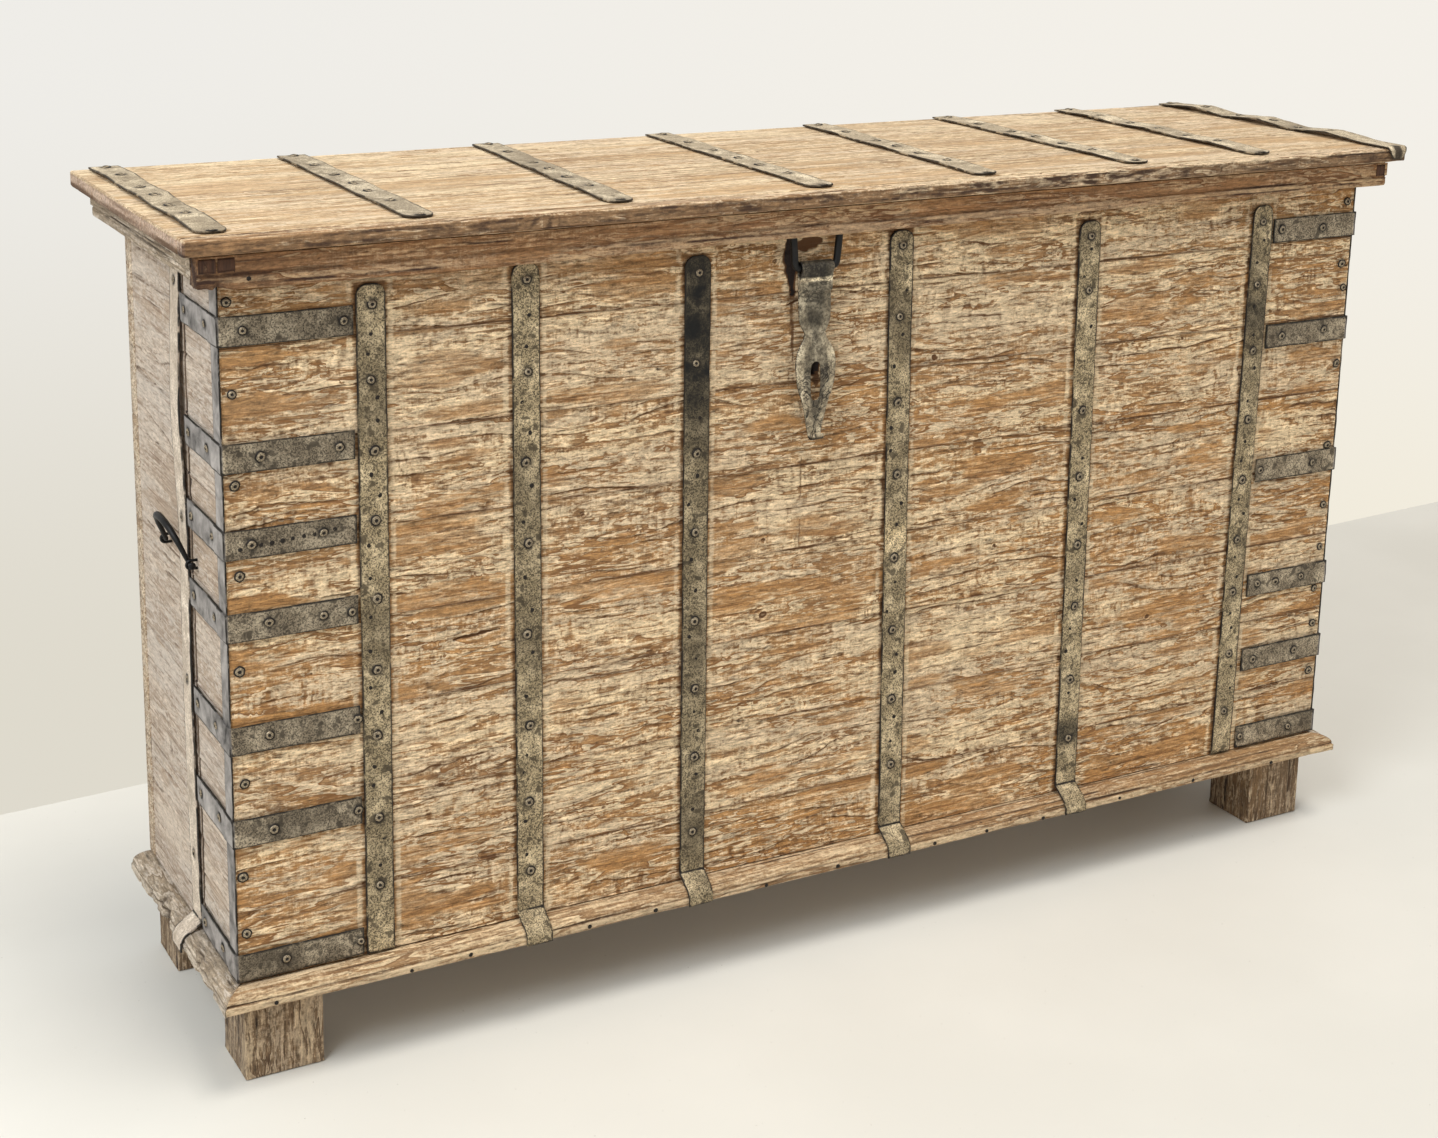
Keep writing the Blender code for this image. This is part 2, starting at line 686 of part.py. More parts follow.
def front_strap_route(number, top_line):
    high_x, low_x = front_strap_ends(number)
    top = top_line - FRONT_STRAP_TOP_SPREAD * FRONT_STRAP_TOP_SHARES[number - 1]
    drops = [(STRAP_MIDDLE, top)]
    if number in FRONT_STRAPS_OVER_SILL:
        drops += over_sill_route()
    else:
        drops.append((STRAP_MIDDLE, SILL_TOP + SHORT_STRAP_SET))
    return [Vector((slanted(high_x, low_x, z), FRONT_Y - outward, z)) for outward, z in drops]


def front_strap_ends(number):
    length = 2 * END_X
    return FRONT_STRAP_HIGH_SHARES[number - 1] * length, FRONT_STRAP_LOW_SHARES[number - 1] * length


def slanted(high_x, low_x, z):
    """X of a slightly slanted strap's middle at a height on the wall."""
    share = (WALL_TOP - z) / WALL_HEIGHT
    return high_x + (low_x - high_x) * share


def bulge_route(low, high, shares, bulges):
    """Places from low to high with the bulge there: flat at the nails and swelling between them."""
    span = high - low
    places = [(low, 0.0), (low + span * shares[0], 0.0)]
    for (start, stop), bulge in zip(zip(shares, shares[1:]), bulges):
        for step in range(1, BULGE_STEPS + 1):
            share = step / BULGE_STEPS
            swell = bulge * math.sin(math.pi * share) ** 2
            places.append((low + span * (start + (stop - start) * share), swell))
    places.append((high, 0.0))
    return places


def side_straps():
    """One upright strap on each end, standing off the boards between its nails."""
    top = CORNICE_BOTTOM - SIDE_STRAP_TOP_SET
    bend = over_sill_route()
    low = bend[0][1]
    bulges = [SIDE_STRAP_BULGE * share for share in SIDE_STRAP_BULGE_SHARES]
    drops = [(STRAP_MIDDLE + swell, z) for z, swell in bulge_route(top, low, SIDE_STRAP_SEAT_SHARES, bulges)]
    drops += bend[1:]
    middle = FRONT_Y + SIDE_STRAP_SET + STRAP_WIDTH / 2
    for name, side in (("left", -1), ("right", 1)):
        route = [Vector((side * (END_X + outward), middle, z)) for outward, z in drops]
        rows = strap_rows(route, Vector((0.0, 1.0, 0.0)), STRAP_WIDTH / 2)
        sheet(f"side_strap_{name}", [rows], STRAP_THICK, "strap_iron")


def corner_strap_start(side):
    """X where the corner straps butt against the outermost front strap of their end."""
    number = 1 if side < 0 else len(FRONT_STRAP_TOP_SHARES)
    return front_strap_ends(number)[0] + side * (STRAP_WIDTH / 2 + CORNER_STRAP_GAP)


def corner_strap_heights(side):
    shares = LEFT_CORNER_SHARES if side < 0 else RIGHT_CORNER_SHARES
    return [WALL_BOTTOM + WALL_HEIGHT * share for share in shares]


def corner_bindings():
    """Thin edge strip down each front corner, and the level straps that bend round the corner over it."""
    middle = FRONT_Y + CORNER_IRON_WIDTH / 2
    face = CLEAR + CORNER_IRON_THICK / 2
    low = WALL_BOTTOM + CORNER_IRON_LOW_SET
    high = CORNICE_BOTTOM - CORNER_IRON_HIGH_SET
    for name, side in (("left", -1), ("right", 1)):
        route = [Vector((side * (END_X + face), middle, z)) for z in (high, low)]
        rows = strap_rows(route, Vector((0.0, 1.0, 0.0)), CORNER_IRON_WIDTH / 2)
        strip = sheet(f"corner_binding_{name}", [rows], CORNER_IRON_THICK, "edge_iron")
        combine(strip, corner_strap_forms(name, side), "UNION")
        strip.modifiers[-1].material_mode = "TRANSFER"


def corner_strap_forms(name, side):
    """Level straps from the front wall round the corner, over the edge strip and down onto the end wall."""
    over_iron = CLEAR + CORNER_IRON_THICK + STRAP_THICK / 2 - CORNER_WELD
    corner = side * (END_X + over_iron)
    step_down = FRONT_Y + CORNER_IRON_WIDTH + CORNER_JOGGLE / 2
    flat = side * (END_X + STRAP_MIDDLE)
    plan = (
        (corner_strap_start(side), FRONT_Y - STRAP_MIDDLE),
        (corner, FRONT_Y - STRAP_MIDDLE),
        (corner, step_down),
        (flat, step_down + CORNER_JOGGLE),
        (flat, FRONT_Y + CORNER_STRAP_REACH),
    )
    grids = []
    for height in corner_strap_heights(side):
        route = [Vector((x, y, height)) for x, y in plan]
        grids.append(strap_rows(route, Vector((0.0, 0.0, 1.0)), CORNER_STRAP_WIDTH / 2))
    return sheet(f"{name}_corner_strap_forms", grids, STRAP_THICK, "strap_iron")


def lid_strap_places(number):
    """Y, lift and X down one lid strap, from the front to the back."""
    front = -LID_DEPTH / 2 + LID_STRAP_FRONT_SET
    back = LID_DEPTH / 2 - LID_STRAP_BACK_SET
    lift = LID_STRAP_LIFT * LID_STRAP_LIFT_SHARES[number - 1]
    bulges = [lift] * (len(LID_STRAP_SEAT_SHARES) - 1)
    places = bulge_route(front, back, LID_STRAP_SEAT_SHARES, bulges)
    return [(y, swell, lid_strap_x(number, y)) for y, swell in places]


def lid_strap_x(number, y):
    front = -LID_DEPTH / 2 + LID_STRAP_FRONT_SET
    back = LID_DEPTH / 2 - LID_STRAP_BACK_SET
    near = LID_STRAP_FRONT_SHARES[number - 1] * LID_LENGTH
    far = LID_STRAP_BACK_SHARES[number - 1] * LID_LENGTH
    return near + (far - near) * (y - front) / (back - front)


def lid_straps(lid_axis):
    """Eight straps across the lid, nailed flat and swelling off the wood between the nails."""
    for number in range(1, len(LID_STRAP_LIFT_SHARES) + 1):
        places = lid_strap_places(number)
        route = [Vector((x, y, LID_TOP + STRAP_MIDDLE + swell)) for y, swell, x in places]
        rows = strap_rows(route, Vector((1.0, 0.0, 0.0)), LID_STRAP_WIDTH / 2, round_start=True)
        sheet(f"lid_strap_{number}", [rows], STRAP_THICK, "strap_iron", lid_axis)


def hinge_leaf(name, place_x, leaf_length, columns, rolled, to_leaf, to_face, carrier):
    """Hinge leaf of sheet iron: a plate, and knuckles rolled round the pin from the rolled columns."""
    section = [to_leaf * reach + to_face * HINGE_ROLL for reach in (leaf_length, HINGE_NECK)]
    for step in range(HINGE_ROLL_STEPS + 1):
        turn = HINGE_ROLL_TURN * step / HINGE_ROLL_STEPS
        section.append(to_face * (HINGE_ROLL * math.cos(turn)) - to_leaf * (HINGE_ROLL * math.sin(turn)))
    rows = []
    for reach in section:
        rows.append([HINGE_AXIS + Vector((place_x + x, 0.0, 0.0)) + reach for x in columns])

    def is_open(down, over):
        return down > 0 and over not in rolled

    sheet(name, [rows], HINGE_THICK, "strap_iron", carrier, is_open)


def hinges(lid_axis):
    """Two pairs of leaves on the back, each pair turning on its own pin."""
    half, inner = HINGE_WIDTH / 2, HINGE_MIDDLE / 2
    wall_columns = (-half, -inner, inner, half)
    tongue = inner - HINGE_KNUCKLE_CLEAR
    lid_columns = (-half, -tongue, tongue, half)
    down, backward = Vector((0.0, 0.0, -1.0)), Vector((0.0, 1.0, 0.0))
    for name, share in zip(("left", "right"), HINGE_PLACE_SHARES):
        x = share * 2 * END_X
        hinge_leaf(f"hinge_wall_leaf_{name}", x, HINGE_WALL_LEAF, wall_columns, (0, 2), down, -backward, None)
        hinge_leaf(f"hinge_lid_leaf_{name}", x, HINGE_LID_LEAF, lid_columns, (1,), backward, -down, lid_axis)
        pin(f"hinge_pin_{name}", HINGE_AXIS + Vector((x, 0.0, 0.0)), half + CLEAR)


def pin(name, middle, head):
    """Pin along X with a flat head at either end, where the hinge's knuckles stop."""
    outer = head + HINGE_PIN_HEAD_THICK
    half = [(outer, HINGE_PIN_HEAD), (head, HINGE_PIN_HEAD), (head, HINGE_PIN_RADIUS)]
    stations = half + [(-along, radius) for along, radius in reversed(half)]
    bm = bmesh.new()
    backward, up = Vector((0.0, 1.0, 0.0)), Vector((0.0, 0.0, 1.0))
    rings = []
    for along, radius in stations:
        centre = middle + Vector((along, 0.0, 0.0))
        rings.append(ring(bm, centre, radius, backward, up, HINGE_PIN_SIDES))
    skin(bm, rings)
    add_object(name, bm, "pin_iron", smooth=True)


def hasp_staple(lid_axis):
    """U-shaped staple: legs driven up into the cornice, and a level bar that the hasp turns on."""
    down = HASP_DROP
    top = HASP_DROP + STAPLE_SOCKET
    points = [(-STAPLE_TOP_SPREAD, top), (-STAPLE_TOP_SPREAD, down), (-STAPLE_SPREAD, STAPLE_CORNER)]
    for step in range(1, STAPLE_CORNER_STEPS + 1):
        turn = math.pi / 2 * step / STAPLE_CORNER_STEPS
        across = -STAPLE_SPREAD + STAPLE_CORNER * (1 - math.cos(turn))
        points.append((across, STAPLE_CORNER * (1 - math.sin(turn))))
    points += [(-across, rise) for across, rise in reversed(points)]
    centres = [HASP_AXIS + Vector((across, 0.0, rise)) for across, rise in points]
    bm = bmesh.new()
    bar(bm, centres, [STAPLE_ROD] * len(centres), Vector((0.0, 1.0, 0.0)))
    add_object("hasp_staple", bm, "black_iron", lid_axis, smooth=True)


def hasp_point(forward, drop, across):
    """World place of a point given forward of the hasp's axis, below it and across."""
    lean = HASP_LEAN * max(drop, 0.0) / HASP_LENGTH
    return HASP_AXIS + Vector((across + lean, -forward, -drop))


def hasp_row(forward, drop, half, slot_half=0.0):
    """Four points across the hasp: its edges, and the slot's sides or else two places between."""
    inner = slot_half or half * HASP_INNER_SHARE
    return [hasp_point(forward, drop, across) for across in (-half, -inner, inner, half)]


def hasp(hasp_axis):
    """Forged hasp: a strip folded round the staple, necked, swelling round its slot, with a curled tip."""
    radius = STAPLE_ROD + STAPLE_CLEAR + HASP_THICK / 2
    fold = HASP_THICK / 2 + HASP_FOLD_GAP / 2
    half_most = HASP_WIDTH / 2
    tail_half = half_most * HASP_TAIL_WIDTH_SHARE
    rows = []
    for forward, drop in ((fold, HASP_TAIL), (fold, HASP_PINCH)):
        rows.append(hasp_row(forward, drop, tail_half))
    for step in range(HASP_LOOP_STEPS + 1):
        turn = HASP_LOOP_START + (2 * math.pi - 2 * HASP_LOOP_START) * step / HASP_LOOP_STEPS
        rows.append(hasp_row(radius * math.sin(turn), radius * math.cos(turn), tail_half))
    slotted = set()
    for along, wide, crank, slot in HASP_LEAF_SHARES:
        if slot:
            slotted.add(len(rows))
        slot_half = HASP_SLOT_WIDTH / 2 * slot
        rows.append(hasp_row(HASP_CRANK * crank - fold, HASP_LENGTH * along, half_most * wide, slot_half))
    last_along, last_wide, last_crank, _ = HASP_LEAF_SHARES[-1]
    curl_forward = HASP_CRANK * last_crank - fold + HASP_CURL_RADIUS
    for step in range(1, HASP_CURL_STEPS + 1):
        share = step / HASP_CURL_STEPS
        turn = HASP_CURL_TURN * share
        half = half_most * (last_wide + (HASP_TIP_SHARE - last_wide) * share)
        forward = curl_forward - HASP_CURL_RADIUS * math.cos(turn)
        drop = HASP_LENGTH * last_along + HASP_CURL_RADIUS * math.sin(turn)
        rows.append(hasp_row(forward, drop, half))

    def is_open(down, over):
        return over == 1 and down in slotted and down + 1 in slotted

    sheet("hasp", [rows], HASP_THICK, "hasp_iron", hasp_axis, is_open)


def bail_outline():
    """Half of the bail from its knob to the middle of its grip, as (along Y, up, radius)."""
    eye = BAIL_HALF_WIDTH + BAIL_BEND
    knob = eye + BAIL_PIN_LENGTH
    outline = [
        (knob + BAIL_KNOB_LENGTH, 0.0, BAIL_KNOB_RADIUS),
        (knob, 0.0, BAIL_KNOB_RADIUS),
        (knob - CLEAR, 0.0, BAIL_PIN_RADIUS),
    ]
    for step in range(BAIL_BEND_STEPS + 1):
        turn = math.pi / 2 * step / BAIL_BEND_STEPS
        outline.append((eye - BAIL_BEND * math.sin(turn), BAIL_BEND * (1 - math.cos(turn)), BAIL_PIN_RADIUS))
    for step in range(2, BAIL_STEPS // 2 + 1):
        turn = math.pi * step / BAIL_STEPS
        along = BAIL_HALF_WIDTH * math.cos(turn) ** (2 / BAIL_SQUARENESS) if step < BAIL_STEPS // 2 else 0.0
        rise = BAIL_HEIGHT * math.sin(turn) ** (2 / BAIL_SQUARENESS)
        thick = BAIL_PIN_RADIUS + (BAIL_GRIP_RADIUS - BAIL_PIN_RADIUS) * math.sin(turn)
        outline.append((along, rise, thick))
    return outline


def bail(name, side, bail_axis):
    """Forged bail with a swollen grip, standing up and leaning outwards as it was left."""
    outline = bail_outline()
    outline += [(-along, rise, thick) for along, rise, thick in reversed(outline[:-1])]
    lean = Vector((side * math.sin(BAIL_TILT), 0.0, math.cos(BAIL_TILT)))
    middle = world_point(bail_axis)
    centres = [middle + Vector((0.0, along, 0.0)) + lean * rise for along, rise, thick in outline]
    flat_way = lean.cross(Vector((0.0, 1.0, 0.0)))
    bm = bmesh.new()
    bar(bm, centres, [thick for along, rise, thick in outline], flat_way)
    add_object(f"{name}_handle", bm, "black_iron", bail_axis, smooth=True)


def handle_eyes(name, side):
    """Two wire staples on the end wall that hold the bail's pins."""
    arch = BAIL_PIN_RADIUS + EYE_CLEAR + EYE_WIRE
    for end_name, end in (("front", -1), ("back", 1)):
        y = BAIL_MIDDLE_Y + end * (BAIL_HALF_WIDTH + BAIL_BEND + BAIL_PIN_LENGTH / 2)
        points = [(CLEAR, arch)]
        for step in range(EYE_STEPS + 1):
            turn = math.pi * step / EYE_STEPS
            points.append((BAIL_STANDOFF + arch * math.sin(turn), arch * math.cos(turn)))
        points.append((CLEAR, -arch))
        centres = [Vector((side * (END_X + outward), y, BAIL_HEIGHT_Z + rise)) for outward, rise in points]
        bm = bmesh.new()
        bar(bm, centres, [EYE_WIRE] * len(centres), Vector((0.0, 1.0, 0.0)), EYE_SIDES)
        add_object(f"{name}_handle_eye_{end_name}", bm, "black_iron", smooth=True)


def handles():
    for name, side in (("left", -1), ("right", 1)):
        pivot = Vector((side * (END_X + BAIL_STANDOFF), BAIL_MIDDLE_Y, BAIL_HEIGHT_Z))
        bail(name, side, axis_empty(f"{name}_handle_axis", pivot))
        handle_eyes(name, side)


def main():
    clear_scene()
    front_wall()
    back_wall()
    side_wall("left", -1)
    side_wall("right", 1)
    floor()
    sill_frame()
    feet()
    front_straps()
    side_straps()
    corner_bindings()
    lid_axis = axis_empty("lid_axis", HINGE_AXIS)
    lid_boards(lid_axis)
    cornice(lid_axis)
    lid_straps(lid_axis)
    hinges(lid_axis)
    hasp_staple(lid_axis)
    hasp(axis_empty("hasp_axis", HASP_AXIS, lid_axis))
    handles()


main()
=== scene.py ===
"""Looks of the wooden trunk: limewashed weathered boards, nailed sheet iron and forged fittings.

Metres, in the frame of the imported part: X along the trunk, the front faces -Y, the floor is z = 0.
"""

import json
import math

import bmesh
import bpy
import numpy as np
from mathutils import Matrix, Vector
from mathutils.kdtree import KDTree

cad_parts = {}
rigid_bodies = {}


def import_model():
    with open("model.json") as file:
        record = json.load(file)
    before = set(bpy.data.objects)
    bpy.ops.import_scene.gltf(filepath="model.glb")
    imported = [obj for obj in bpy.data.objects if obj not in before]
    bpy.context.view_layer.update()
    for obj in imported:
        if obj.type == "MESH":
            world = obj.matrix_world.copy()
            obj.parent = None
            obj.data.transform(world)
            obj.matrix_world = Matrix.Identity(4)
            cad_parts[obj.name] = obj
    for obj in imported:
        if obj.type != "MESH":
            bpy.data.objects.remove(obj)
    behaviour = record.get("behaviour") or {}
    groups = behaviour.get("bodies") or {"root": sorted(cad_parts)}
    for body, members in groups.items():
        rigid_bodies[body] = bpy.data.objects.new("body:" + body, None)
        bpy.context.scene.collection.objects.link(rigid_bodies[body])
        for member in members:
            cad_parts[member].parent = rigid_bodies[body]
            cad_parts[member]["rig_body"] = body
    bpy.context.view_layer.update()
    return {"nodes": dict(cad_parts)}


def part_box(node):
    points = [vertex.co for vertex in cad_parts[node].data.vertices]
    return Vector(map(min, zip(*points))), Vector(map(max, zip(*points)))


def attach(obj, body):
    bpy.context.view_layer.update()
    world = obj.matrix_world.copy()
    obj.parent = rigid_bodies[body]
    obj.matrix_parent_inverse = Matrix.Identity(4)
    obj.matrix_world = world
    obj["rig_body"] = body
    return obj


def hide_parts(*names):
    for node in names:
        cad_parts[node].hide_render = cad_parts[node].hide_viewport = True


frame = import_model()

# Camera, fitted to the trunk's own straight edges
IMAGE_WIDTH = 1438
IMAGE_HEIGHT = 1138
CAMERA_PLACE = (-1.373, -2.3175, 1.349)
CAMERA_AZIMUTH = math.radians(29.088)
CAMERA_ELEVATION = math.radians(13.228)
CAMERA_ROLL = math.radians(1.124)
CAMERA_FOCAL = 2264.0
CAMERA_CENTRE = (719.0, 330.0)
SENSOR = 36.0

# Floor: its far edge, y at x = 0 and rise along x, is where the floor meets the wall in the photograph
FLOOR_EDGE = (0.654, 0.0645)
FLOOR_REACH = 12.0

# Even light, and the wall's colour (left, right) at its foot and higher up, between these view directions;
# its darker foot and left are painted shade
WORLD_STRENGTH = 0.52
WALL_ACROSS = (0.18, 0.72)
WALL_UP = (-0.38, -0.10)
WALL_FOOT = ((0.735, 0.700, 0.610), (0.880, 0.825, 0.690))
WALL_HEAD = ((0.862, 0.845, 0.805), (0.900, 0.870, 0.810))

# Colours of the sky and of the floor (two tones and specks); lights as place, target, size, watts and colour
SKY_COLOUR = (1.0, 0.985, 0.95)
FLOOR_COLOURS = ((0.715, 0.697, 0.641), (0.755, 0.737, 0.681))
FLOOR_SPECK = (0.38, 0.35, 0.30)
KEY_LIGHT = ((0.91, -2.21, 11.84), (0.0, 0.0, 0.4), 4.7, 655.0, (1.0, 0.95, 0.88))
FILL_LIGHT = ((-3.4, -1.8, 3.6), (-0.6, 0.0, 0.4), 2.4, 142.0, (0.88, 0.94, 1.0))

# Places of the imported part
END_X = 0.750
FRONT_Y = -0.1855
BACK_Y = 0.1685
WALL_BOTTOM = 0.1206
WALL_TOP = 0.9102
LID_TOP = 0.930
BOARD_THICK = 0.024
BOARD_GAP = 0.0003
FRONT_SHARES = (0.0, 0.101, 0.228, 0.361, 0.487, 0.614, 0.741, 0.873, 1.0)
FRONT_JOINTS = [WALL_BOTTOM + (WALL_TOP - WALL_BOTTOM) * share for share in FRONT_SHARES[1:-1]]
STRAP_TOP = 0.0023
FRONT_STRAP_HIGH = (-0.59295, -0.42195, -0.2160, 0.04905, 0.3210, 0.59595)
FRONT_STRAP_LOW = (-0.59295, -0.41505, -0.2100, 0.06405, 0.33195, 0.58995)
STRAP_HALF = 0.016

# Wood meshes: even steps, with a coarser mesh on the hidden side
COARSE = 4
EASE = 0.0008
EASE_SHARES = (0.0, 0.45)

# Relief of each kind of wood, in metres, and how much limewash and crumbling it has
LOOKS = {
    "front": {
        "crack": 0.55, "stretch": 1.0, "bend": 0.0095, "spacing": 0.0085, "line": 0.0006,
        "tears": -0.08, "lift": 0.0013, "skin": -0.14, "fine_tears": -0.20, "ripples": 0.0012,
        "ripple_cover": -0.02, "lime": 0.54, "contrast": 1.05, "crumbs": 1.2,
    },
    "side": {
        "crack": 0.5, "stretch": 1.0, "bend": 0.0090, "spacing": 0.0150, "line": 0.0008,
        "tears": 0.02, "lift": 0.0011, "skin": -0.35, "fine_tears": 0.05, "ripples": 0.0010,
        "ripple_cover": 0.62, "lime": 0.55, "contrast": 0.8, "crumbs": 1.2,
    },
    "lid": {
        "crack": 0.7, "stretch": 2.4, "bend": 0.0050, "spacing": 0.0120, "line": 0.0008,
        "tears": 0.04, "lift": 0.0006, "skin": -0.16, "fine_tears": -0.05, "ripples": 0.0003,
        "ripple_cover": 0.50, "lime": 0.50, "contrast": 1.2, "crumbs": 0.8,
    },
    "plain": {
        "crack": 0.75, "stretch": 2.0, "bend": 0.0025, "spacing": 0.0085, "line": 0.0007,
        "tears": 0.02, "lift": 0.0005, "skin": -0.30, "fine_tears": 0.0, "ripples": 0.0002,
        "ripple_cover": 0.70, "lime": 0.42, "contrast": 0.8, "crumbs": 0.6,
    },
    "foot": {
        "crack": 0.65, "stretch": 0.9, "bend": 0.0035, "spacing": 0.0130, "line": 0.0009,
        "tears": 0.10, "lift": 0.0008, "skin": -0.50, "fine_tears": 0.15, "ripples": 0.0003,
        "ripple_cover": 0.70, "lime": 0.42, "contrast": 0.9, "crumbs": 1.3,
    },
}

# Depth in metres, and darkness, that each kind of mark adds to weathered wood; the darkness under a tear is
# painted shade
RELIEF = {
    "level": 0.0008, "tear": 0.0008, "fine": 0.0003, "crumb": 0.00035, "swell": 0.0007,
    "worn": 0.0009, "pit": 0.0006, "cut": 0.0004,
}
DARKNESS = {"under": 0.24, "fine": 0.45, "gap": 0.34, "pit": 0.5, "worn": 0.45, "cut": 0.28, "low": 0.35}
# Sizes in metres: painted shade below a tear, raised lip with a painted highlight above it, spacing of fine
# tears and of the fingers across the grain
UNDER_SIZE = 0.0045
LIP_SIZE = 0.0035
FINE_SPACING = 0.0046
FINGER_SPACING = 0.0062
# Lean of the fingers; a board's worn edge: its least width and how much wider it gets
FINGER_SLANT = 0.22
WORN_EDGE = (0.0005, 0.0030)
# How far apart the layers of layered noise lie: along x, and in their seeds
LAYER_SHIFT = 5.3
LAYER_SEEDS = 17

# Steps of the wood meshes along and across the grain
FRONT_STEPS = (0.0020, 0.0011)
LID_STEPS = (0.0032, 0.0016)
EDGE_STEPS = (0.0024, 0.0014)
SIDE_STEPS = (0.0022, 0.0020)
BACK_STEPS = (0.0046, 0.0038)
FLOOR_STEPS = (0.005, 0.004)
FOOT_STEPS = (0.0026, 0.0020)
TENON_STEPS = (0.0014, 0.0014)
BACK_RAIL_STEPS = (0.006, 0.003)
RAIL_STEP = 0.0028
PROFILE_STEP = 0.0018
HIDDEN_STEP = 0.010
# How much of its relief a board loses at its ends and along its joints
END_FLATNESS = 0.85
JOINT_FLATNESS = 0.93
# Rounding of a cornice's ends: share of its length, and how far its profile shrinks
RAIL_EASE = [(0.0, 0.07), (0.0008, 0.02)]

# Boards: places of the lid, courses of the walls and the floor as shares, from the bottom or the front.
# Their random fields have seeds by kind: front from 1, lid from 20, ends from 40, back from 70, floor from
# 80, feet from 90, rails from 101 and tenons from 115.
SIDES = (("left", -1), ("right", 1))
LID_REACH = 0.794
LID_BOTTOM = 0.9105
LID_FRONT_Y = -0.2265
LID_JOINT_Y = -0.2015
LID_BACK_Y = 0.2265
LID_EDGE_GAP = 0.0004
LID_SHARES = (0.0, 0.30, 0.766, 1.0)
LID_END_X = (0.7915, 0.7932)
SIDE_SHARES = (0.0, 0.189, 0.371, 0.528, 0.667, 0.751, 0.892, 1.0)
BACK_SHARES = (0.0, 0.17, 0.35, 0.51, 0.68, 0.83, 1.0)
FLOOR_SHARES = (0.0, 0.34, 0.67, 1.0)
FLOOR_THICK = 0.018
INSIDE_Y = (FRONT_Y + BOARD_THICK + BOARD_GAP, BACK_Y - BOARD_THICK - BOARD_GAP)
CORNICE_X = (-0.778, 0.778)
CORNICE_Y = (-0.1867, 0.2085)
TENON_Y = (-0.2144, -0.2100)
TENON_Z = (0.8922, 0.9077)
# Lumps out of the sill's side rails: how deep, and how far their edge droops
CHEWED_DEPTH = 0.0060
CHEWED_DROOP = 0.0016

# Dirt with painted shade along the front's straps, and dark lines at its joints, in metres from their edges
STRAP_DIRT_AND_SHADE = (0.0035, 0.0005)
STRAP_MARGIN = ((0.0030, 0.0045), (0.0100, 0.0080))
JOINT_LINE = (0.0015, 0.0005)
# The front is browner left of here; knots: width of a ring as a share of the knot, and depth
BROWNED_X = (-0.62, -0.67)
KNOT_RING = 0.62
KNOT_DEPTH = 0.0010

# Sheet iron: cleaning of its node's mesh, sizes of dents and waves, and what is marked on it
WELD = 0.00001
CUT_NEAR = 0.000001
FLAT_ANGLE = math.radians(0.6)
SHARP_ANGLE = math.radians(40)
RIM_STEP = 0.002
DENT_SIZE = 0.016
WAVE_SIZE = 0.014
EDGE_DARK = 0.0004
NAIL_SHADE = (0.0080, 0.0050)
BORDER = (0.0060, 0.0135)
LIMED_TONE = 1.5
CRACKLE_SCALES = (30.0, 62.0)
STRAP_FACE_Y = FRONT_Y - STRAP_TOP
LAST_STRAP_END = 0.0285

# Nail heads: rings of the dome as (width, height), and how far each head differs
NAIL_PROFILE = (
    (1.36, -0.30), (1.33, 0.10), (1.04, 0.14), (0.92, 0.50), (0.72, 0.85), (0.52, 0.98), (0.36, 0.72),
    (0.16, 0.30),
)
NAIL_SIDES = 14
NAIL_RADIUS = 0.0044
NAIL_HEIGHT = 0.0017
NAIL_DIMPLE = 0.15
# Dark rings of each head: the lowest three are a painted shadow round its base, the top two and its middle
# the dark dimple
NAIL_DARK_RINGS = (0, 1, 2, 6, 7)
NAIL_TILT = 0.16
NAIL_SPREAD = 0.14
NAIL_UNEVEN = 0.07
NAIL_JITTER = 0.0015
STRAP_NAIL_JITTER = 0.002
WIDE_NAIL_JITTER = 0.006
STUB_SIZE = (0.0018, 0.0005)
STUB_SHARES = (0.30, 0.66)
STUB_REACH = 0.009

# Round bars: hasp staple, bails with their wire eyes, hinge pins
ALONG_Y = np.array((0.0, 1.0, 0.0))
ROD_DENTS = 0.00012
ROD_DENT_SIZE = 0.007
HASP_AXIS = np.array((-0.0715, -0.198, 0.8397))
STAPLE_RADIUS = 0.0042
BAIL_PIVOT = (0.756, -0.0265, 0.5532)
BAIL_TILT = math.radians(23)
BAIL_HALF = 0.041
BAIL_BEND = 0.0042
BAIL_PIN = 0.0075
BAIL_KNOB = 0.0030
BAIL_RISE = 0.0435
BAIL_POWER = 0.8
EYE_RADIUS = 0.0045
EYE_WIRE = 0.0016
EYE_REACH = 0.006
EYE_LEG = 0.001
EYE_DEPTH = -0.004
PIN_HEAD = ((0.0, 0.0038), (0.0005, 0.0045), (0.0013, 0.0045), (0.0015, 0.0030))
PIN_DENTS = 0.00002

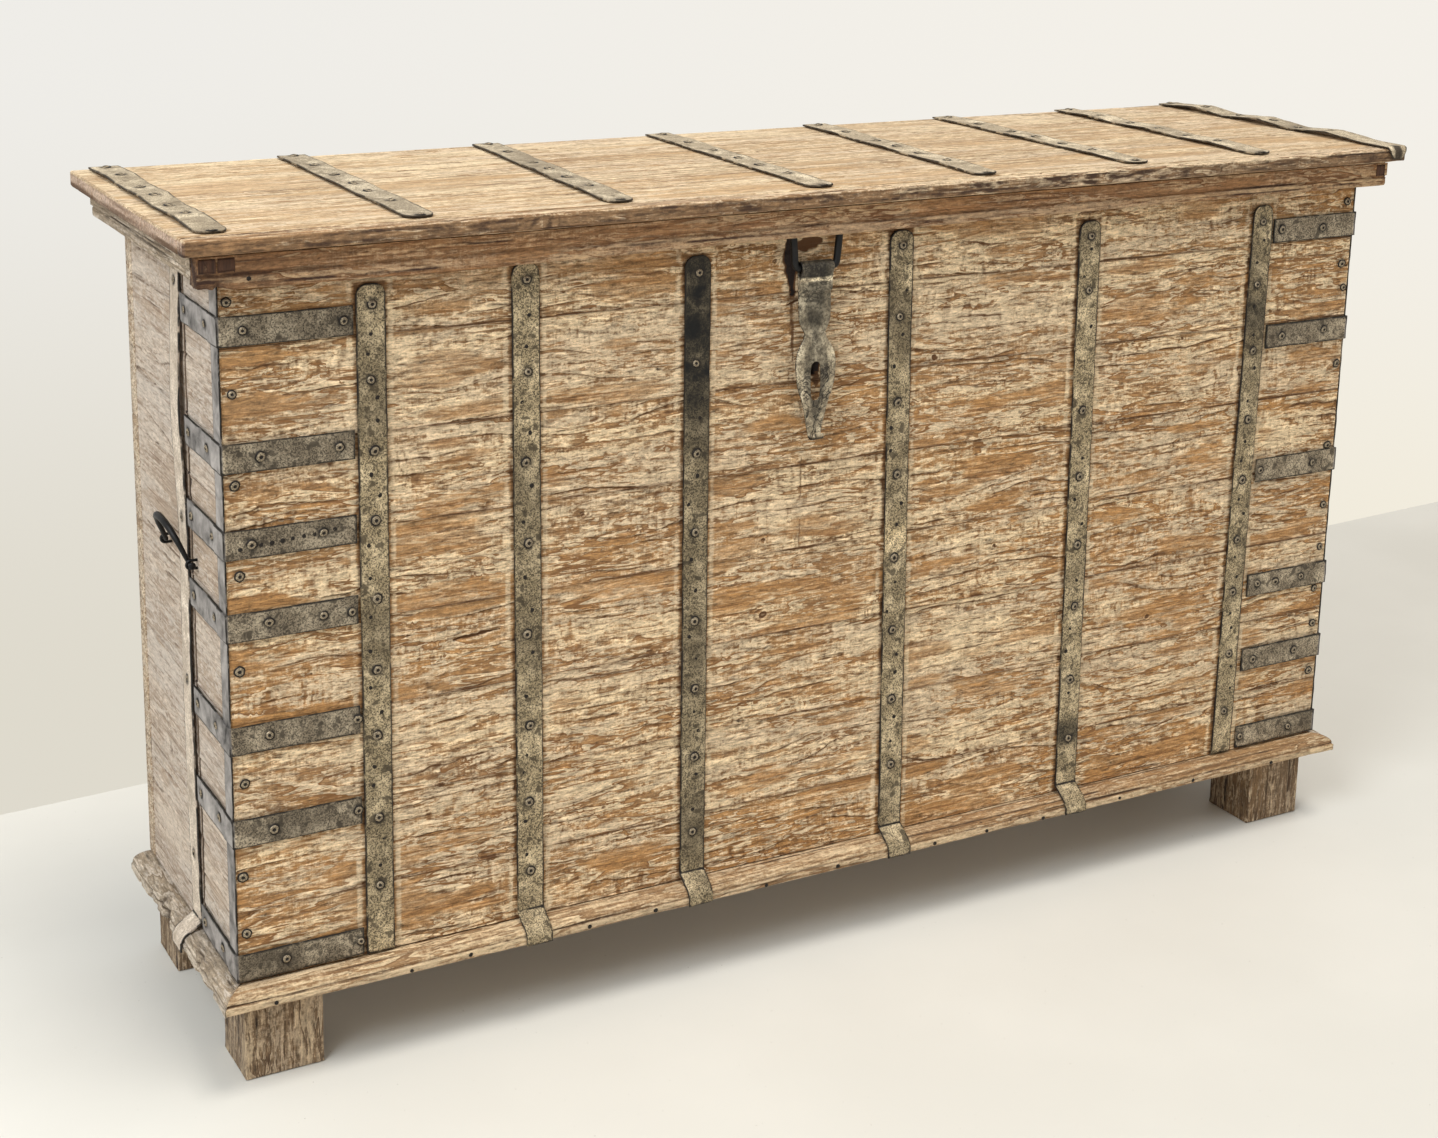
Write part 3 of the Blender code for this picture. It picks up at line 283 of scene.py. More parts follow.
# Hasp: sizes, and its leaf as shares of them (along, half width, crank, half slot)
HASP_LONG = 0.199
HASP_HALF = 0.0265
HASP_CRANK = 0.004
HASP_SLOT = 0.0065
HASP_BACK = 0.0017
HASP_EYE = 0.0063
HASP_TAIL = 0.0212
HASP_CURL = 0.0045
HASP_LEAN = 0.004
HASP_THICK = 0.0030
HASP_CREASE = 0.35
HASP_INNER_SHARE = 0.33
HASP_TIP_SHARE = 0.27
HASP_LEAF = (
    (0.085, 0.81, 0.00, 0.00), (0.200, 0.80, 0.00, 0.00), (0.305, 0.79, 0.00, 0.00),
    (0.348, 0.66, 0.12, 0.00), (0.381, 0.51, 0.30, 0.00), (0.415, 0.58, 0.52, 0.00),
    (0.450, 0.77, 0.75, 0.00), (0.495, 0.92, 0.92, 0.00), (0.548, 1.00, 1.00, 0.40),
    (0.565, 1.00, 1.00, 0.88), (0.610, 0.99, 1.00, 1.00), (0.677, 0.92, 1.00, 1.00),
    (0.730, 0.80, 0.95, 0.95), (0.762, 0.71, 0.90, 0.80), (0.776, 0.67, 0.86, 0.40),
    (0.830, 0.56, 0.70, 0.00), (0.885, 0.46, 0.52, 0.00), (0.940, 0.37, 0.42, 0.00),
    (0.975, 0.32, 0.40, 0.00),
)

# Single gouges, splits, sooty patches and painted shadows round the staple and hasp: from, to, half width,
# depth and darkness, in the board's own plane
FRONT_SCARS = (
    ((-0.503, 0.4640), (-0.451, 0.4680), 0.0028, 0.0030, 1.0),
    ((-0.075, 0.6350), (-0.074, 0.5650), 0.0010, 0.0010, 0.55),
    ((-0.074, 0.5400), (-0.075, 0.4950), 0.0010, 0.0010, 0.55),
    ((-0.232, 0.5080), (-0.214, 0.5060), 0.0030, 0.0020, 0.9),
    ((-0.100, 0.7950), (-0.078, 0.8010), 0.0016, 0.0020, 0.9),
    ((-0.022, 0.8010), (0.016, 0.8060), 0.0013, 0.0015, 0.8),
    # Dark round the staple and behind the hasp's edge and slot: dirt, and painted shadow of the iron
    ((-0.0990, 0.8790), (-0.0925, 0.8080), 0.0105, 0.0012, 1.8),
    ((-0.090, 0.8620), (-0.058, 0.8660), 0.0125, 0.0006, 1.15),
    ((-0.094, 0.8080), (-0.090, 0.7300), 0.0035, 0.0003, 0.7),
    ((-0.059, 0.7400), (-0.058, 0.7150), 0.0095, 0.0002, 1.8),
    ((-0.058, 0.7150), (-0.058, 0.6980), 0.0070, 0.0002, 0.8),
)
LID_SCARS = (
    ((-0.150, -0.1990), (-0.100, -0.1960), 0.0035, 0.0030, 1.0),
    ((-0.050, -0.1960), (-0.020, -0.1980), 0.0028, 0.0030, 1.0),
)
# Knots: middle, size along and across the grain
FRONT_KNOTS = (
    ((-0.123, 0.521), 0.0070, 0.0075), ((-0.116, 0.847), 0.0060, 0.0060), ((0.105, 0.714), 0.0090, 0.0085),
    ((-0.120, 0.430), 0.0120, 0.0080), ((0.205, 0.466), 0.0070, 0.0050), ((-0.352, 0.585), 0.0080, 0.0060),
    ((0.452, 0.335), 0.0080, 0.0060), ((0.480, 0.700), 0.0060, 0.0050), ((-0.520, 0.300), 0.0070, 0.0055),
)
# How much deeper than the part's the worn cornice is, at places from left to right
CORNICE_SAG_PLACES = (-0.778, -0.50, -0.18, 0.40, 0.778)
CORNICE_SAG = (0.0045, 0.0060, 0.0030, 0.0, 0.0)
# Ends of the cornice's side rails where they come through its front
TENONS = {"left": ((-0.7765, -0.7590), (-0.7575, -0.7400)), "right": ((0.7575, 0.7710),)}
# Hole for the missing lock staple, painted black inside as its shade: left, right, bottom, top
LOCK_HOLE = (-0.0705, -0.0575, 0.709, 0.729)
LOCK_HOLE_DEPTH = 0.0125
LOCK_HOLE_FACE = 0.004
# Gap behind the upright strap of each end, sunk and painted black as its shade
SIDE_GAP_Y = -0.0555
SIDE_GAP_HALF = (0.0034, 0.0022)
SIDE_GAP_DEPTH = 0.0015

# Heights of the nails in each upright strap of the front
FRONT_NAILS = (
    (0.842, 0.763, 0.687, 0.612, 0.526, 0.447, 0.373, 0.279, 0.200),
    (0.853, 0.753, 0.653, 0.562, 0.458, 0.351, 0.260, 0.177),
    (0.843, 0.741, 0.637, 0.545, 0.439, 0.357, 0.273, 0.180),
    (0.853, 0.769, 0.666, 0.578, 0.475, 0.384, 0.295, 0.210),
    (0.843, 0.776, 0.625, 0.540, 0.451, 0.370, 0.272, 0.192),
    (0.841, 0.760, 0.673, 0.582, 0.501, 0.420, 0.348, 0.262, 0.181),
)
# How light each front strap is at heights from its foot up, where 1 is its plain colour
STRAP_TONES = (
    ((0.10, 1.30), (0.15, 1.10), (0.22, 0.80), (0.45, 0.95), (0.60, 1.05), (0.80, 1.00), (0.90, 0.80)),
    ((0.10, 0.95), (0.20, 1.10), (0.40, 0.90), (0.55, 0.80), (0.70, 1.10), (0.90, 1.05)),
    ((0.10, 0.90), (0.30, 0.75), (0.50, 0.70), (0.62, 0.72), (0.69, 0.24), (0.73, 0.10), (0.86, 0.15),
     (0.90, 0.32)),
    ((0.10, 0.90), (0.30, 1.05), (0.475, 0.90), (0.49, 1.60), (0.51, 1.60), (0.525, 0.95), (0.70, 1.00),
     (0.90, 1.10)),
    ((0.10, 1.00), (0.18, 1.00), (0.19, 0.35), (0.21, 0.35), (0.225, 1.05), (0.60, 1.15), (0.90, 1.00)),
    ((0.10, 1.00), (0.40, 1.10), (0.69, 1.05), (0.705, 0.40), (0.735, 0.40), (0.75, 1.00), (0.90, 1.15)),
)
# Irons of the front corners are limed pale where they turn onto the trunk's ends
CORNER_TONES = ((-0.7516, 1.9), (-0.7502, 0.95), (0.0, 1.0), (0.60, 1.25), (0.7502, 1.25), (0.7516, 1.9))
# How light the hasp is, at heights from its tip up, with painted highlights on the tip and along the crease
# under the barrel
HASP_TONES = (
    (0.640, 0.15), (0.6425, 0.20), (0.6450, 1.70), (0.652, 1.20), (0.665, 1.25), (0.735, 1.35), (0.755, 0.90),
    (0.770, 0.62), (0.785, 0.70), (0.808, 0.62), (0.822, 0.85), (0.8245, 2.0), (0.8275, 1.8), (0.8295, 0.18),
    (0.850, 0.30),
)


def lattice(x, y, z, seed):
    """Repeatable random values from -1 to 1 at whole-number places."""
    key = (x * 73856093) ^ (y * 19349663) ^ (z * 83492791) ^ (seed * 668265263)
    key = ((key ^ (key >> 13)) & 0x7FFFFFFF) * 1274126177 & 0x7FFFFFFF
    key = key ^ (key >> 15)
    return (key & 0xFFFF) / 32767.5 - 1.0


def noise(x, y, z, seed):
    """Smooth random field from -1 to 1, with about one swell to a unit."""
    whole = [np.floor(v).astype(np.int64) for v in (x, y, z)]
    parts = [v - w for v, w in zip((x, y, z), whole)]
    eased = [p * p * (3 - 2 * p) for p in parts]
    total = 0.0
    for corner in range(8):
        steps = [(corner >> axis) & 1 for axis in range(3)]
        weight = 1.0
        for step, share in zip(steps, eased):
            weight = weight * (share if step else 1 - share)
        total = total + weight * lattice(*[w + step for w, step in zip(whole, steps)], seed)
    return total


def layered(x, y, z, seed, octaves):
    """Noise with finer and weaker layers added."""
    total, strength, scale = 0.0, 1.0, 1.0
    for octave in range(octaves):
        total = total + strength * noise(
            x * scale + LAYER_SHIFT * octave, y * scale, z * scale, seed + LAYER_SEEDS * octave)
        strength *= 0.5
        scale *= 2.0
    return total / (2 - 2 * strength)


def ramp(low, high, value):
    """Smooth rise from 0 at low to 1 at high."""
    share = np.clip((value - low) / (high - low), 0.0, 1.0)
    return share * share * (3 - 2 * share)


class Grain:
    """Random fields of one plank, as seen along (s), across (t) and into (d) its grain."""

    def __init__(self, points, grain, seed, look):
        self.seed, self.look, self.long = seed, look, look["stretch"]
        self.s = points[:, grain] + 3.7 * seed
        across, self.d = (points[:, axis] + 0.9 * seed for axis in range(3) if axis != grain)
        self.t = across + 0.6 * self.d
        wander = self.swells(0.14, 0.05, 1) + 0.30 * self.swells(0.055, 0.02, 2)
        wander = wander + 0.07 * self.swells(0.013, 0.008, 3)
        self.bent = self.t + look["bend"] * wander

    def field(self, along, across, number):
        """Noise with swells of the given size along and across the board."""
        return noise(self.s / along, self.t / across, self.d / across, self.seed + number)

    def swells(self, along, across, number):
        return self.field(along * self.long, across, number)

    def bands(self, along, across, number, octaves):
        """Layered noise that follows the bent grain."""
        place = self.s / (along * self.long), self.bent / across, self.d / across
        return layered(*place, self.seed + number, octaves)

    def line_noise(self, along, step, numbers, number):
        """Noise that is the same all along one line of the grain's pattern."""
        place = self.s / (along * self.long) + step * numbers
        return noise(place, numbers * 0.77, self.d / 0.05, self.seed + number)


def tears(wood, skin):
    """Torn grain: the crack, the hollow below it with painted shade, the lip above it with a painted
    highlight.
    """
    look, spacing = wood.look, wood.look["spacing"]
    path = wood.bent / spacing
    path = path + 0.30 * noise(wood.s / (0.2 * wood.long), wood.bent / 0.03, wood.d / 0.03, wood.seed + 4)
    number = np.floor(path + 0.5)
    off = (path - number) * spacing
    torn = ramp(look["tears"], look["tears"] + 0.35, wood.line_noise(0.070, 7.31, number, 5))
    torn = torn * (1 - 0.6 * skin)
    width = look["line"] * (0.4 + 0.8 * torn) * (1.0 + 0.6 * wood.swells(0.012, 0.01, 6))
    tear = torn * ramp(width, width * 0.2, np.abs(off))
    under = torn * ramp(-UNDER_SIZE, 0.0, off) * (off < 0)
    return tear, under, torn * ramp(LIP_SIZE, 0.0, off) * (off >= 0)


def fine_tears(wood, skin):
    """Thin short cracks between the torn ones."""
    start = wood.look["fine_tears"]
    path = wood.bent / FINE_SPACING
    path = path + 0.4 * noise(wood.s / (0.08 * wood.long), wood.bent / 0.012, wood.d / 0.012, wood.seed + 7)
    number = np.floor(path + 0.5)
    fine = ramp(start, start + 0.6, wood.line_noise(0.030, 3.71, number, 8)) * (1 - 0.5 * skin)
    return fine * ramp(0.17, 0.03, np.abs(path - number))


def weather(points, grain, seed, look, edge=None):
    """Depth below the flat face of weathered wood at points, and how dark, limewashed and warm it is."""
    wood = Grain(points, grain, seed, look)
    s, t, d = wood.s, wood.t, wood.d
    skin = ramp(look["skin"], look["skin"] - 0.22, wood.bands(0.10, 0.026, 20, 2))
    rough = 1.0 - skin
    tone = 0.75 * wood.bands(0.085, 0.0078, 21, 3) + 0.45 * wood.bands(0.035, 0.0021, 22, 2)
    tone = look["contrast"] * tone
    tear, under, lip = tears(wood, skin)
    fine = fine_tears(wood, skin)
    cover = look["ripple_cover"]
    patch = ramp(cover, cover + 0.16, wood.field(0.062, 0.024, 9)) * rough
    slant = s + FINGER_SLANT * t + 0.012 * wood.field(0.09, 0.05, 10)
    slant = slant + 0.0014 * wood.field(0.02, 0.008, 11)
    finger = np.abs(noise(slant / FINGER_SPACING, t / 0.060, d / 0.060, seed + 12))
    gap = ramp(0.20, 0.04, finger) * ramp(-0.5, 0.1, wood.field(0.008, 0.012, 24))
    crumb = look["crumbs"] * layered(s / 0.0060, t / 0.0036, d / 0.0036, seed + 13, 2)
    pit = ramp(0.84, 0.93, wood.field(0.005, 0.0042, 14))
    cut = ramp(0.82, 0.93, noise(slant / 0.003, t / 0.020, d / 0.020, seed + 15)) * rough
    worn = 0.0
    if edge is not None:
        frayed = 0.5 + 0.5 * layered(s / 0.03, t / 0.05, d / 0.05, seed + 16, 2)
        worn = ramp(WORN_EDGE[0] + WORN_EDGE[1] * frayed, 0.0, edge) * (0.25 + 0.75 * frayed)
    level = (1 - 0.8 * skin) * (0.5 + 0.5 * tone)
    deep = RELIEF
    depth = deep["level"] * (1 - level) + look["lift"] * (0.6 * under + 0.4 - 0.4 * lip)
    depth = depth + deep["tear"] * tear + deep["fine"] * fine
    depth = depth + look["ripples"] * patch * (1 - ramp(0.0, 0.5, finger))
    depth = depth + deep["crumb"] * rough * (0.5 - 0.5 * crumb)
    depth = depth + deep["swell"] * (0.5 + 0.5 * wood.swells(0.28, 0.07, 17))
    depth = depth + deep["worn"] * worn + deep["pit"] * pit + deep["cut"] * cut
    shade = DARKNESS
    # Painted shade in the hollow below each tear, on top of the cracks' own dark
    dark = look["crack"] * tear + shade["under"] * under * (0.6 + 0.4 * wood.bands(0.02, 0.002, 23, 2))
    dark = dark + shade["fine"] * fine + shade["gap"] * patch * gap
    dark = dark + shade["pit"] * pit + shade["worn"] * worn + shade["cut"] * cut
    dark = dark + shade["low"] * ramp(-0.20, -0.80, tone)
    drift = wood.swells(0.22, 0.07, 25) + 0.5 * float(lattice(seed, 3, 5, 26))
    # Painted highlight on the lip above each tear, painted shade in the hollow below it
    lime = look["lime"] + 0.75 * tone + 0.60 * lip - 0.35 * under + 0.40 * crumb * rough + 0.32 * drift
    lime = lime * (1 - 0.55 * skin) + patch * (0.30 - 0.38 * gap)
    warm = 0.5 + 0.75 * wood.bands(0.20, 0.04, 18, 2) + 0.35 * skin - 0.2 * drift
    marks = {"dark": dark, "lime": lime, "warm": warm, "skin": skin}
    return np.maximum(depth, 0.0), {mark: np.clip(values, 0.0, 1.0) for mark, values in marks.items()}


def scarred(places, depth, marks, scars, knots):
    """Adds single gouges and knots, given in the plane of the board's face."""
    x, y = places
    dark, lime = marks["dark"], marks["lime"]
    ragged = 1 + 0.4 * noise(x / 0.006, y / 0.006, 0 * x, 61)
    for start, end, half, deep, strength in scars:
        run = np.array(end) - start
        share = np.clip(((x - start[0]) * run[0] + (y - start[1]) * run[1]) / (run @ run), 0.0, 1.0)
        away = np.hypot(x - start[0] - run[0] * share, y - start[1] - run[1] * share)
        width = half * (0.35 + 0.65 * np.sin(math.pi * np.clip(share, 0.05, 0.95))) * ragged
        cut = ramp(width, width * 0.4, away)
        depth += deep * cut
        dark = np.maximum(dark, strength * cut)
        lime = np.maximum(lime, 0.9 * ramp(width * 2.6, width * 1.2, away) * (1 - cut))
    uneven = 0.16 * noise(x / 0.004, y / 0.004, 0 * x, 62)
    for (middle, height), along, across in knots:
        away = np.hypot((x - middle) / along, (y - height) / across) + uneven
        rings = 0.5 - 0.5 * np.cos(2 * math.pi * away / KNOT_RING)
        inside = ramp(1.9, 1.3, away)
        core = ramp(0.55, 0.25, away)
        depth += KNOT_DEPTH * inside * rings + KNOT_DEPTH * core
        dark = dark * (1 - 0.5 * inside)
        dark = np.clip(dark + inside * 0.45 * rings ** 2 + 0.6 * core, 0.0, np.maximum(dark, 1.0))
    return depth, {**marks, "dark": dark, "lime": lime}


def places(length, step, ease):
    """Places along a length: close together where the ends are rounded, then even."""
    inner = length - 2 * ease
    cells = max(COARSE, COARSE * round(inner / step / COARSE))
    rise = [ease * share for share in EASE_SHARES]
    middle = list(np.linspace(ease, length - ease, cells + 1))
    return np.array(rise + middle + [length - place for place in reversed(rise)])


def on_rounded_box(points, low, high, ease):
    """Moves points of a box's surface onto its rounded edges, and gives the way out at each."""
    inner = np.clip(points, low + ease, high - ease)
    out = points - inner
    out /= np.linalg.norm(out, axis=1)[:, None]
    return inner + out * ease, out


def grid(rows, columns):
    """Row and column numbers of a grid's places, row by row."""
    return [v.ravel() for v in np.meshgrid(rows, columns, indexing="ij")]


def plank(low, high, grain, face, side, steps, seed, look, ease=EASE, side_rows=3, own=None, snug=True):
    """Board between two corners: a fine mesh on the face that shows and a coarse one behind it."""
    low, high = np.array(low, float), np.array(high, float)
    cross = 3 - grain - face
    over = places(high[grain] - low[grain], steps[0], ease)
    up = places(high[cross] - low[cross], steps[1], ease)
    outer, inner = (high[face], low[face]) if side > 0 else (low[face], high[face])
    over_last, up_last = len(over) - 1, len(up) - 1
    border = [(i, 0) for i in range(over_last)] + [(over_last, j) for j in range(up_last)]
    border += [(i, up_last) for i in range(over_last, 0, -1)] + [(0, j) for j in range(up_last, 0, -1)]
    border = np.array(border)

    def at(i, j, depth):
        made = np.empty((len(i), 3))
        made[:, grain] = low[grain] + over[i]
        made[:, cross] = low[cross] + up[j]
        made[:, face] = depth
        return made

    groups = [at(*grid(np.arange(over_last + 1), np.arange(up_last + 1)), outer)]
    for depth in np.linspace(outer - side * ease, inner + side * ease, side_rows):
        groups.append(at(border[:, 0], border[:, 1], depth))
    groups.append(at(*grid(np.arange(0, over_last + 1, COARSE), np.arange(0, up_last + 1, COARSE)), inner))
    points, out = on_rounded_box(np.concatenate(groups), low, high, ease)
    edge = np.minimum(points[:, cross] - low[cross], high[cross] - points[:, cross])
    depth, marks = weather(points, grain, seed, look, edge)
    if own:
        depth, marks = own(points, depth, marks)
    depth = depth * (1 - END_FLATNESS * np.abs(out[:, grain]))
    if snug:
        depth = depth * (1 - JOINT_FLATNESS * np.abs(out[:, cross]))
    points = points - out * depth[:, None]
    faces = plank_faces(over_last, up_last, border, side_rows)
    if (side > 0) != ((grain, cross, face) in ((0, 1, 2), (1, 2, 0), (2, 0, 1))):
        faces = [rows[:, ::-1] for rows in faces]
    return points, faces, marks


def grid_faces(rows, columns, start):
    i, j = grid(np.arange(rows), np.arange(columns))
    base = start + i * (columns + 1) + j
    return np.stack([base, base + columns + 1, base + columns + 2, base + 1], axis=1)


def plank_faces(over_last, up_last, border, side_rows):
    """Faces of a plank: the fine face, the bands round its edges, and the coarse back joined to them."""
    front = grid_faces(over_last, up_last, 0)
    start = (over_last + 1) * (up_last + 1)
    count = len(border)
    rings = [border[:, 0] * (up_last + 1) + border[:, 1]]
    rings += [start + row * count + np.arange(count) for row in range(side_rows)]
    bands = []
    for here, there in zip(rings, rings[1:]):
        bands.append(np.stack([np.roll(here, -1), here, there, np.roll(there, -1)], axis=1))
    back_start = start + side_rows * count
    rows, columns = over_last // COARSE, up_last // COARSE
    back = grid_faces(rows, columns, back_start)[:, ::-1]
    coarse = border[::COARSE] // COARSE
    coarse = back_start + coarse[:, 0] * (columns + 1) + coarse[:, 1]
    fine = rings[-1]
    joins = [np.roll(fine, -step)[::COARSE] for step in range(COARSE, -1, -1)]
    joined = np.stack(joins + [coarse, np.roll(coarse, -1)], axis=1)
    return [front, np.concatenate(bands), joined, back]


def mesh_object(name, parts, material):
    """One object from parts of (points, face arrays, marks), with the marks kept for its material."""
    mesh = bpy.data.meshes.new(name)
    points = np.concatenate([part[0] for part in parts])
    loops, starts, shift, used = [], [], 0, 0
    for part_points, faces, _ in parts:
        for rows in faces:
            loops.append((rows + shift).ravel())
            starts.append(used + np.arange(len(rows)) * rows.shape[1])
            used += rows.size
        shift += len(part_points)
    loops, starts = np.concatenate(loops), np.concatenate(starts)
    mesh.vertices.add(len(points))
    mesh.loops.add(len(loops))
    mesh.polygons.add(len(starts))
    mesh.loops.foreach_set("vertex_index", loops.astype(np.int32))
    mesh.polygons.foreach_set("loop_start", starts.astype(np.int32))
    marks = {mark: np.concatenate([part[2][mark] for part in parts]) for mark in parts[0][2]}
    write_points(mesh, points, marks)
    mesh.update(calc_edges=True)
    mesh.shade_smooth()
    return link(name, mesh, material)


def read_points(mesh):
    """Places of a mesh's points and the ways out of its surface there, a row each."""
    count = len(mesh.vertices)
    points, out = np.empty(count * 3), np.empty(count * 3)
    mesh.vertices.foreach_get("co", points)
    mesh.vertices.foreach_get("normal", out)
    return points.reshape(-1, 3), out.reshape(-1, 3)


def write_points(mesh, points, marks):
    """Gives a mesh's points new places, and marks for its material to read."""
    mesh.vertices.foreach_set("co", points.astype(np.float32).ravel())
    for mark, values in marks.items():
        mesh.attributes.new(mark, "FLOAT", "POINT").data.foreach_set("value", np.asarray(values, np.float32))


def tube(name, rings, material):
    """Closed solid through rings of points, with a cap at each end."""
    last, sides = len(rings) - 1, len(rings[0])
    i, j = grid(np.arange(last), np.arange(sides))
    here, there, after = i * sides, (i + 1) * sides, (j + 1) % sides
    bands = np.stack([here + j, here + after, there + after, there + j], axis=1)
    caps = np.stack([np.arange(sides)[::-1], last * sides + np.arange(sides)])
    made = mesh_object(name, [(np.concatenate(rings), [bands, caps], {})], material)
    bm = bmesh.new()
    bm.from_mesh(made.data)
    bmesh.ops.recalc_face_normals(bm, faces=bm.faces)
    bm.to_mesh(made.data)
    bm.free()
    return made


def link(name, mesh, material):
    mesh.materials.clear()
    mesh.materials.append(material)
    made = bpy.data.objects.new(name, mesh)
    bpy.context.scene.collection.objects.link(made)
    return made


def dress(piece, node):
    """The piece stands for a CAD node and rides on its body."""
    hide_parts(node)
    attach(piece, frame["nodes"][node]["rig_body"])
    return piece


class Shader:
    """Short calls that add nodes to one material."""

    def __init__(self, name):
        self.material = bpy.data.materials.new(name)
        self.material.use_nodes = True
        self.tree = self.material.node_tree
        self.surface = self.tree.nodes["Principled BSDF"]
        self.object = self.add("ShaderNodeTexCoord").outputs["Object"]

    def add(self, kind, **values):
        node = self.tree.nodes.new(kind)
        for key, value in values.items():
            setattr(node, key, value)
        return node

    def join(self, value, socket):
        if isinstance(value, bpy.types.NodeSocket):
            self.tree.links.new(value, socket)
        elif hasattr(socket.default_value, "__len__") and len(socket.default_value) == 4:
            socket.default_value = (*value, 1.0)
        else:
            socket.default_value = value

    def noise(self, scale, detail=4.0, roughness=0.55, warp=0.0, shift=(0.0, 0.0, 0.0)):
        """Noise over the object's own places, with its scale along each axis a metre."""
        stretch = self.add("ShaderNodeMapping")
        scale = scale if hasattr(scale, "__len__") else (scale,) * 3
        stretch.inputs["Scale"].default_value = scale
        stretch.inputs["Location"].default_value = [move * size for move, size in zip(shift, scale)]
        self.join(self.object, stretch.inputs["Vector"])
        made = self.add("ShaderNodeTexNoise")
        made.inputs["Scale"].default_value = 1.0
        made.inputs["Detail"].default_value = detail
        made.inputs["Roughness"].default_value = roughness
        made.inputs["Distortion"].default_value = warp
        self.join(stretch.outputs["Vector"], made.inputs["Vector"])
        return made.outputs["Fac"]

    def mark(self, name):
        return self.add("ShaderNodeAttribute", attribute_name=name).outputs["Fac"]

    def math(self, operation, first, second=0.0, third=0.0):
        node = self.add("ShaderNodeMath", operation=operation)
        for value, socket in zip((first, second, third), node.inputs):
            self.join(value, socket)
        return node.outputs["Value"]

    def plus(self, first, *others):
        for value in others:
            first = self.math("ADD", first, value)
        return first

    def times(self, first, *others):
        for value in others:
            first = self.math("MULTIPLY", first, value)
        return first

    def centred(self, value, strength):
        """A 0 to 1 value made to swing by its strength about zero."""
        return self.math("MULTIPLY_ADD", value, strength, -0.5 * strength)

    def span(self, value, low, high):
        """Smooth rise from 0 at low to 1 at high."""
        node = self.add("ShaderNodeMapRange", interpolation_type="SMOOTHSTEP")
        self.join(value, node.inputs["Value"])
        node.inputs["From Min"].default_value = low
        node.inputs["From Max"].default_value = high
        return node.outputs["Result"]

    def mix(self, share, first, second, blend="MIX"):
        node = self.add("ShaderNodeMix", data_type="RGBA", blend_type=blend)
        self.join(share, node.inputs["Factor"])
        for value, socket in zip((first, second), [s for s in node.inputs if s.type == "RGBA"]):
            self.join(value, socket)
        return [s for s in node.outputs if s.type == "RGBA"][0]

    def bump(self, height, distance, strength=1.0):
        node = self.add("ShaderNodeBump")
        node.inputs["Strength"].default_value = strength
        node.inputs["Distance"].default_value = distance
        self.join(height, node.inputs["Height"])
        self.join(node.outputs["Normal"], self.surface.inputs["Normal"])

    def finish(self, colour, roughness, metallic=0.0):
        self.join(colour, self.surface.inputs["Base Color"])
        self.join(roughness, self.surface.inputs["Roughness"])
        self.surface.inputs["Metallic"].default_value = metallic
        return self.material


# Patterns of the wood's colour: repeats a metre along and across the grain, detail, roughness and warp
WOOD_PATTERNS = {
    "streak": (9.0, 330.0, 6.0, 0.62, 0.6), "broad": (3.0, 26.0, 4.0, 0.55, 0.5),
    "fibre": (70.0, 1300.0, 3.0, 0.6, 0.0), "crumb": (430.0, 430.0, 3.0, 0.65, 0.0),
    "chip": (120.0, 270.0, 5.0, 0.68, 0.5), "cross": (380.0, 42.0, 3.0, 0.6, 0.4),
    "mottle": (50.0, 150.0, 5.0, 0.66, 0.6), "ridge": (55.0, 240.0, 5.0, 0.68, 0.6),
}
# Thin lines along the grain, each with a painted highlight above and painted shade below: repeats a metre
# along and across it, width, shift, and strength
LONG_SEAM = (7.0, 55.0, 0.015, 0.31, 0.75)
SHORT_SEAM = (22.0, 125.0, 0.022, 0.77, 0.60)
# How far apart two looks at the ridges lie, whose difference paints light on one side of each ridge and shade
# on the other; the tone of soot and of painted deep shade; a tint
RIDGE_SHIFT = -0.0013
SOOT_AND_DEEP_SHADE = (0.016, 0.007, 0.004)
GRIME = (0.84, 0.80, 0.92)


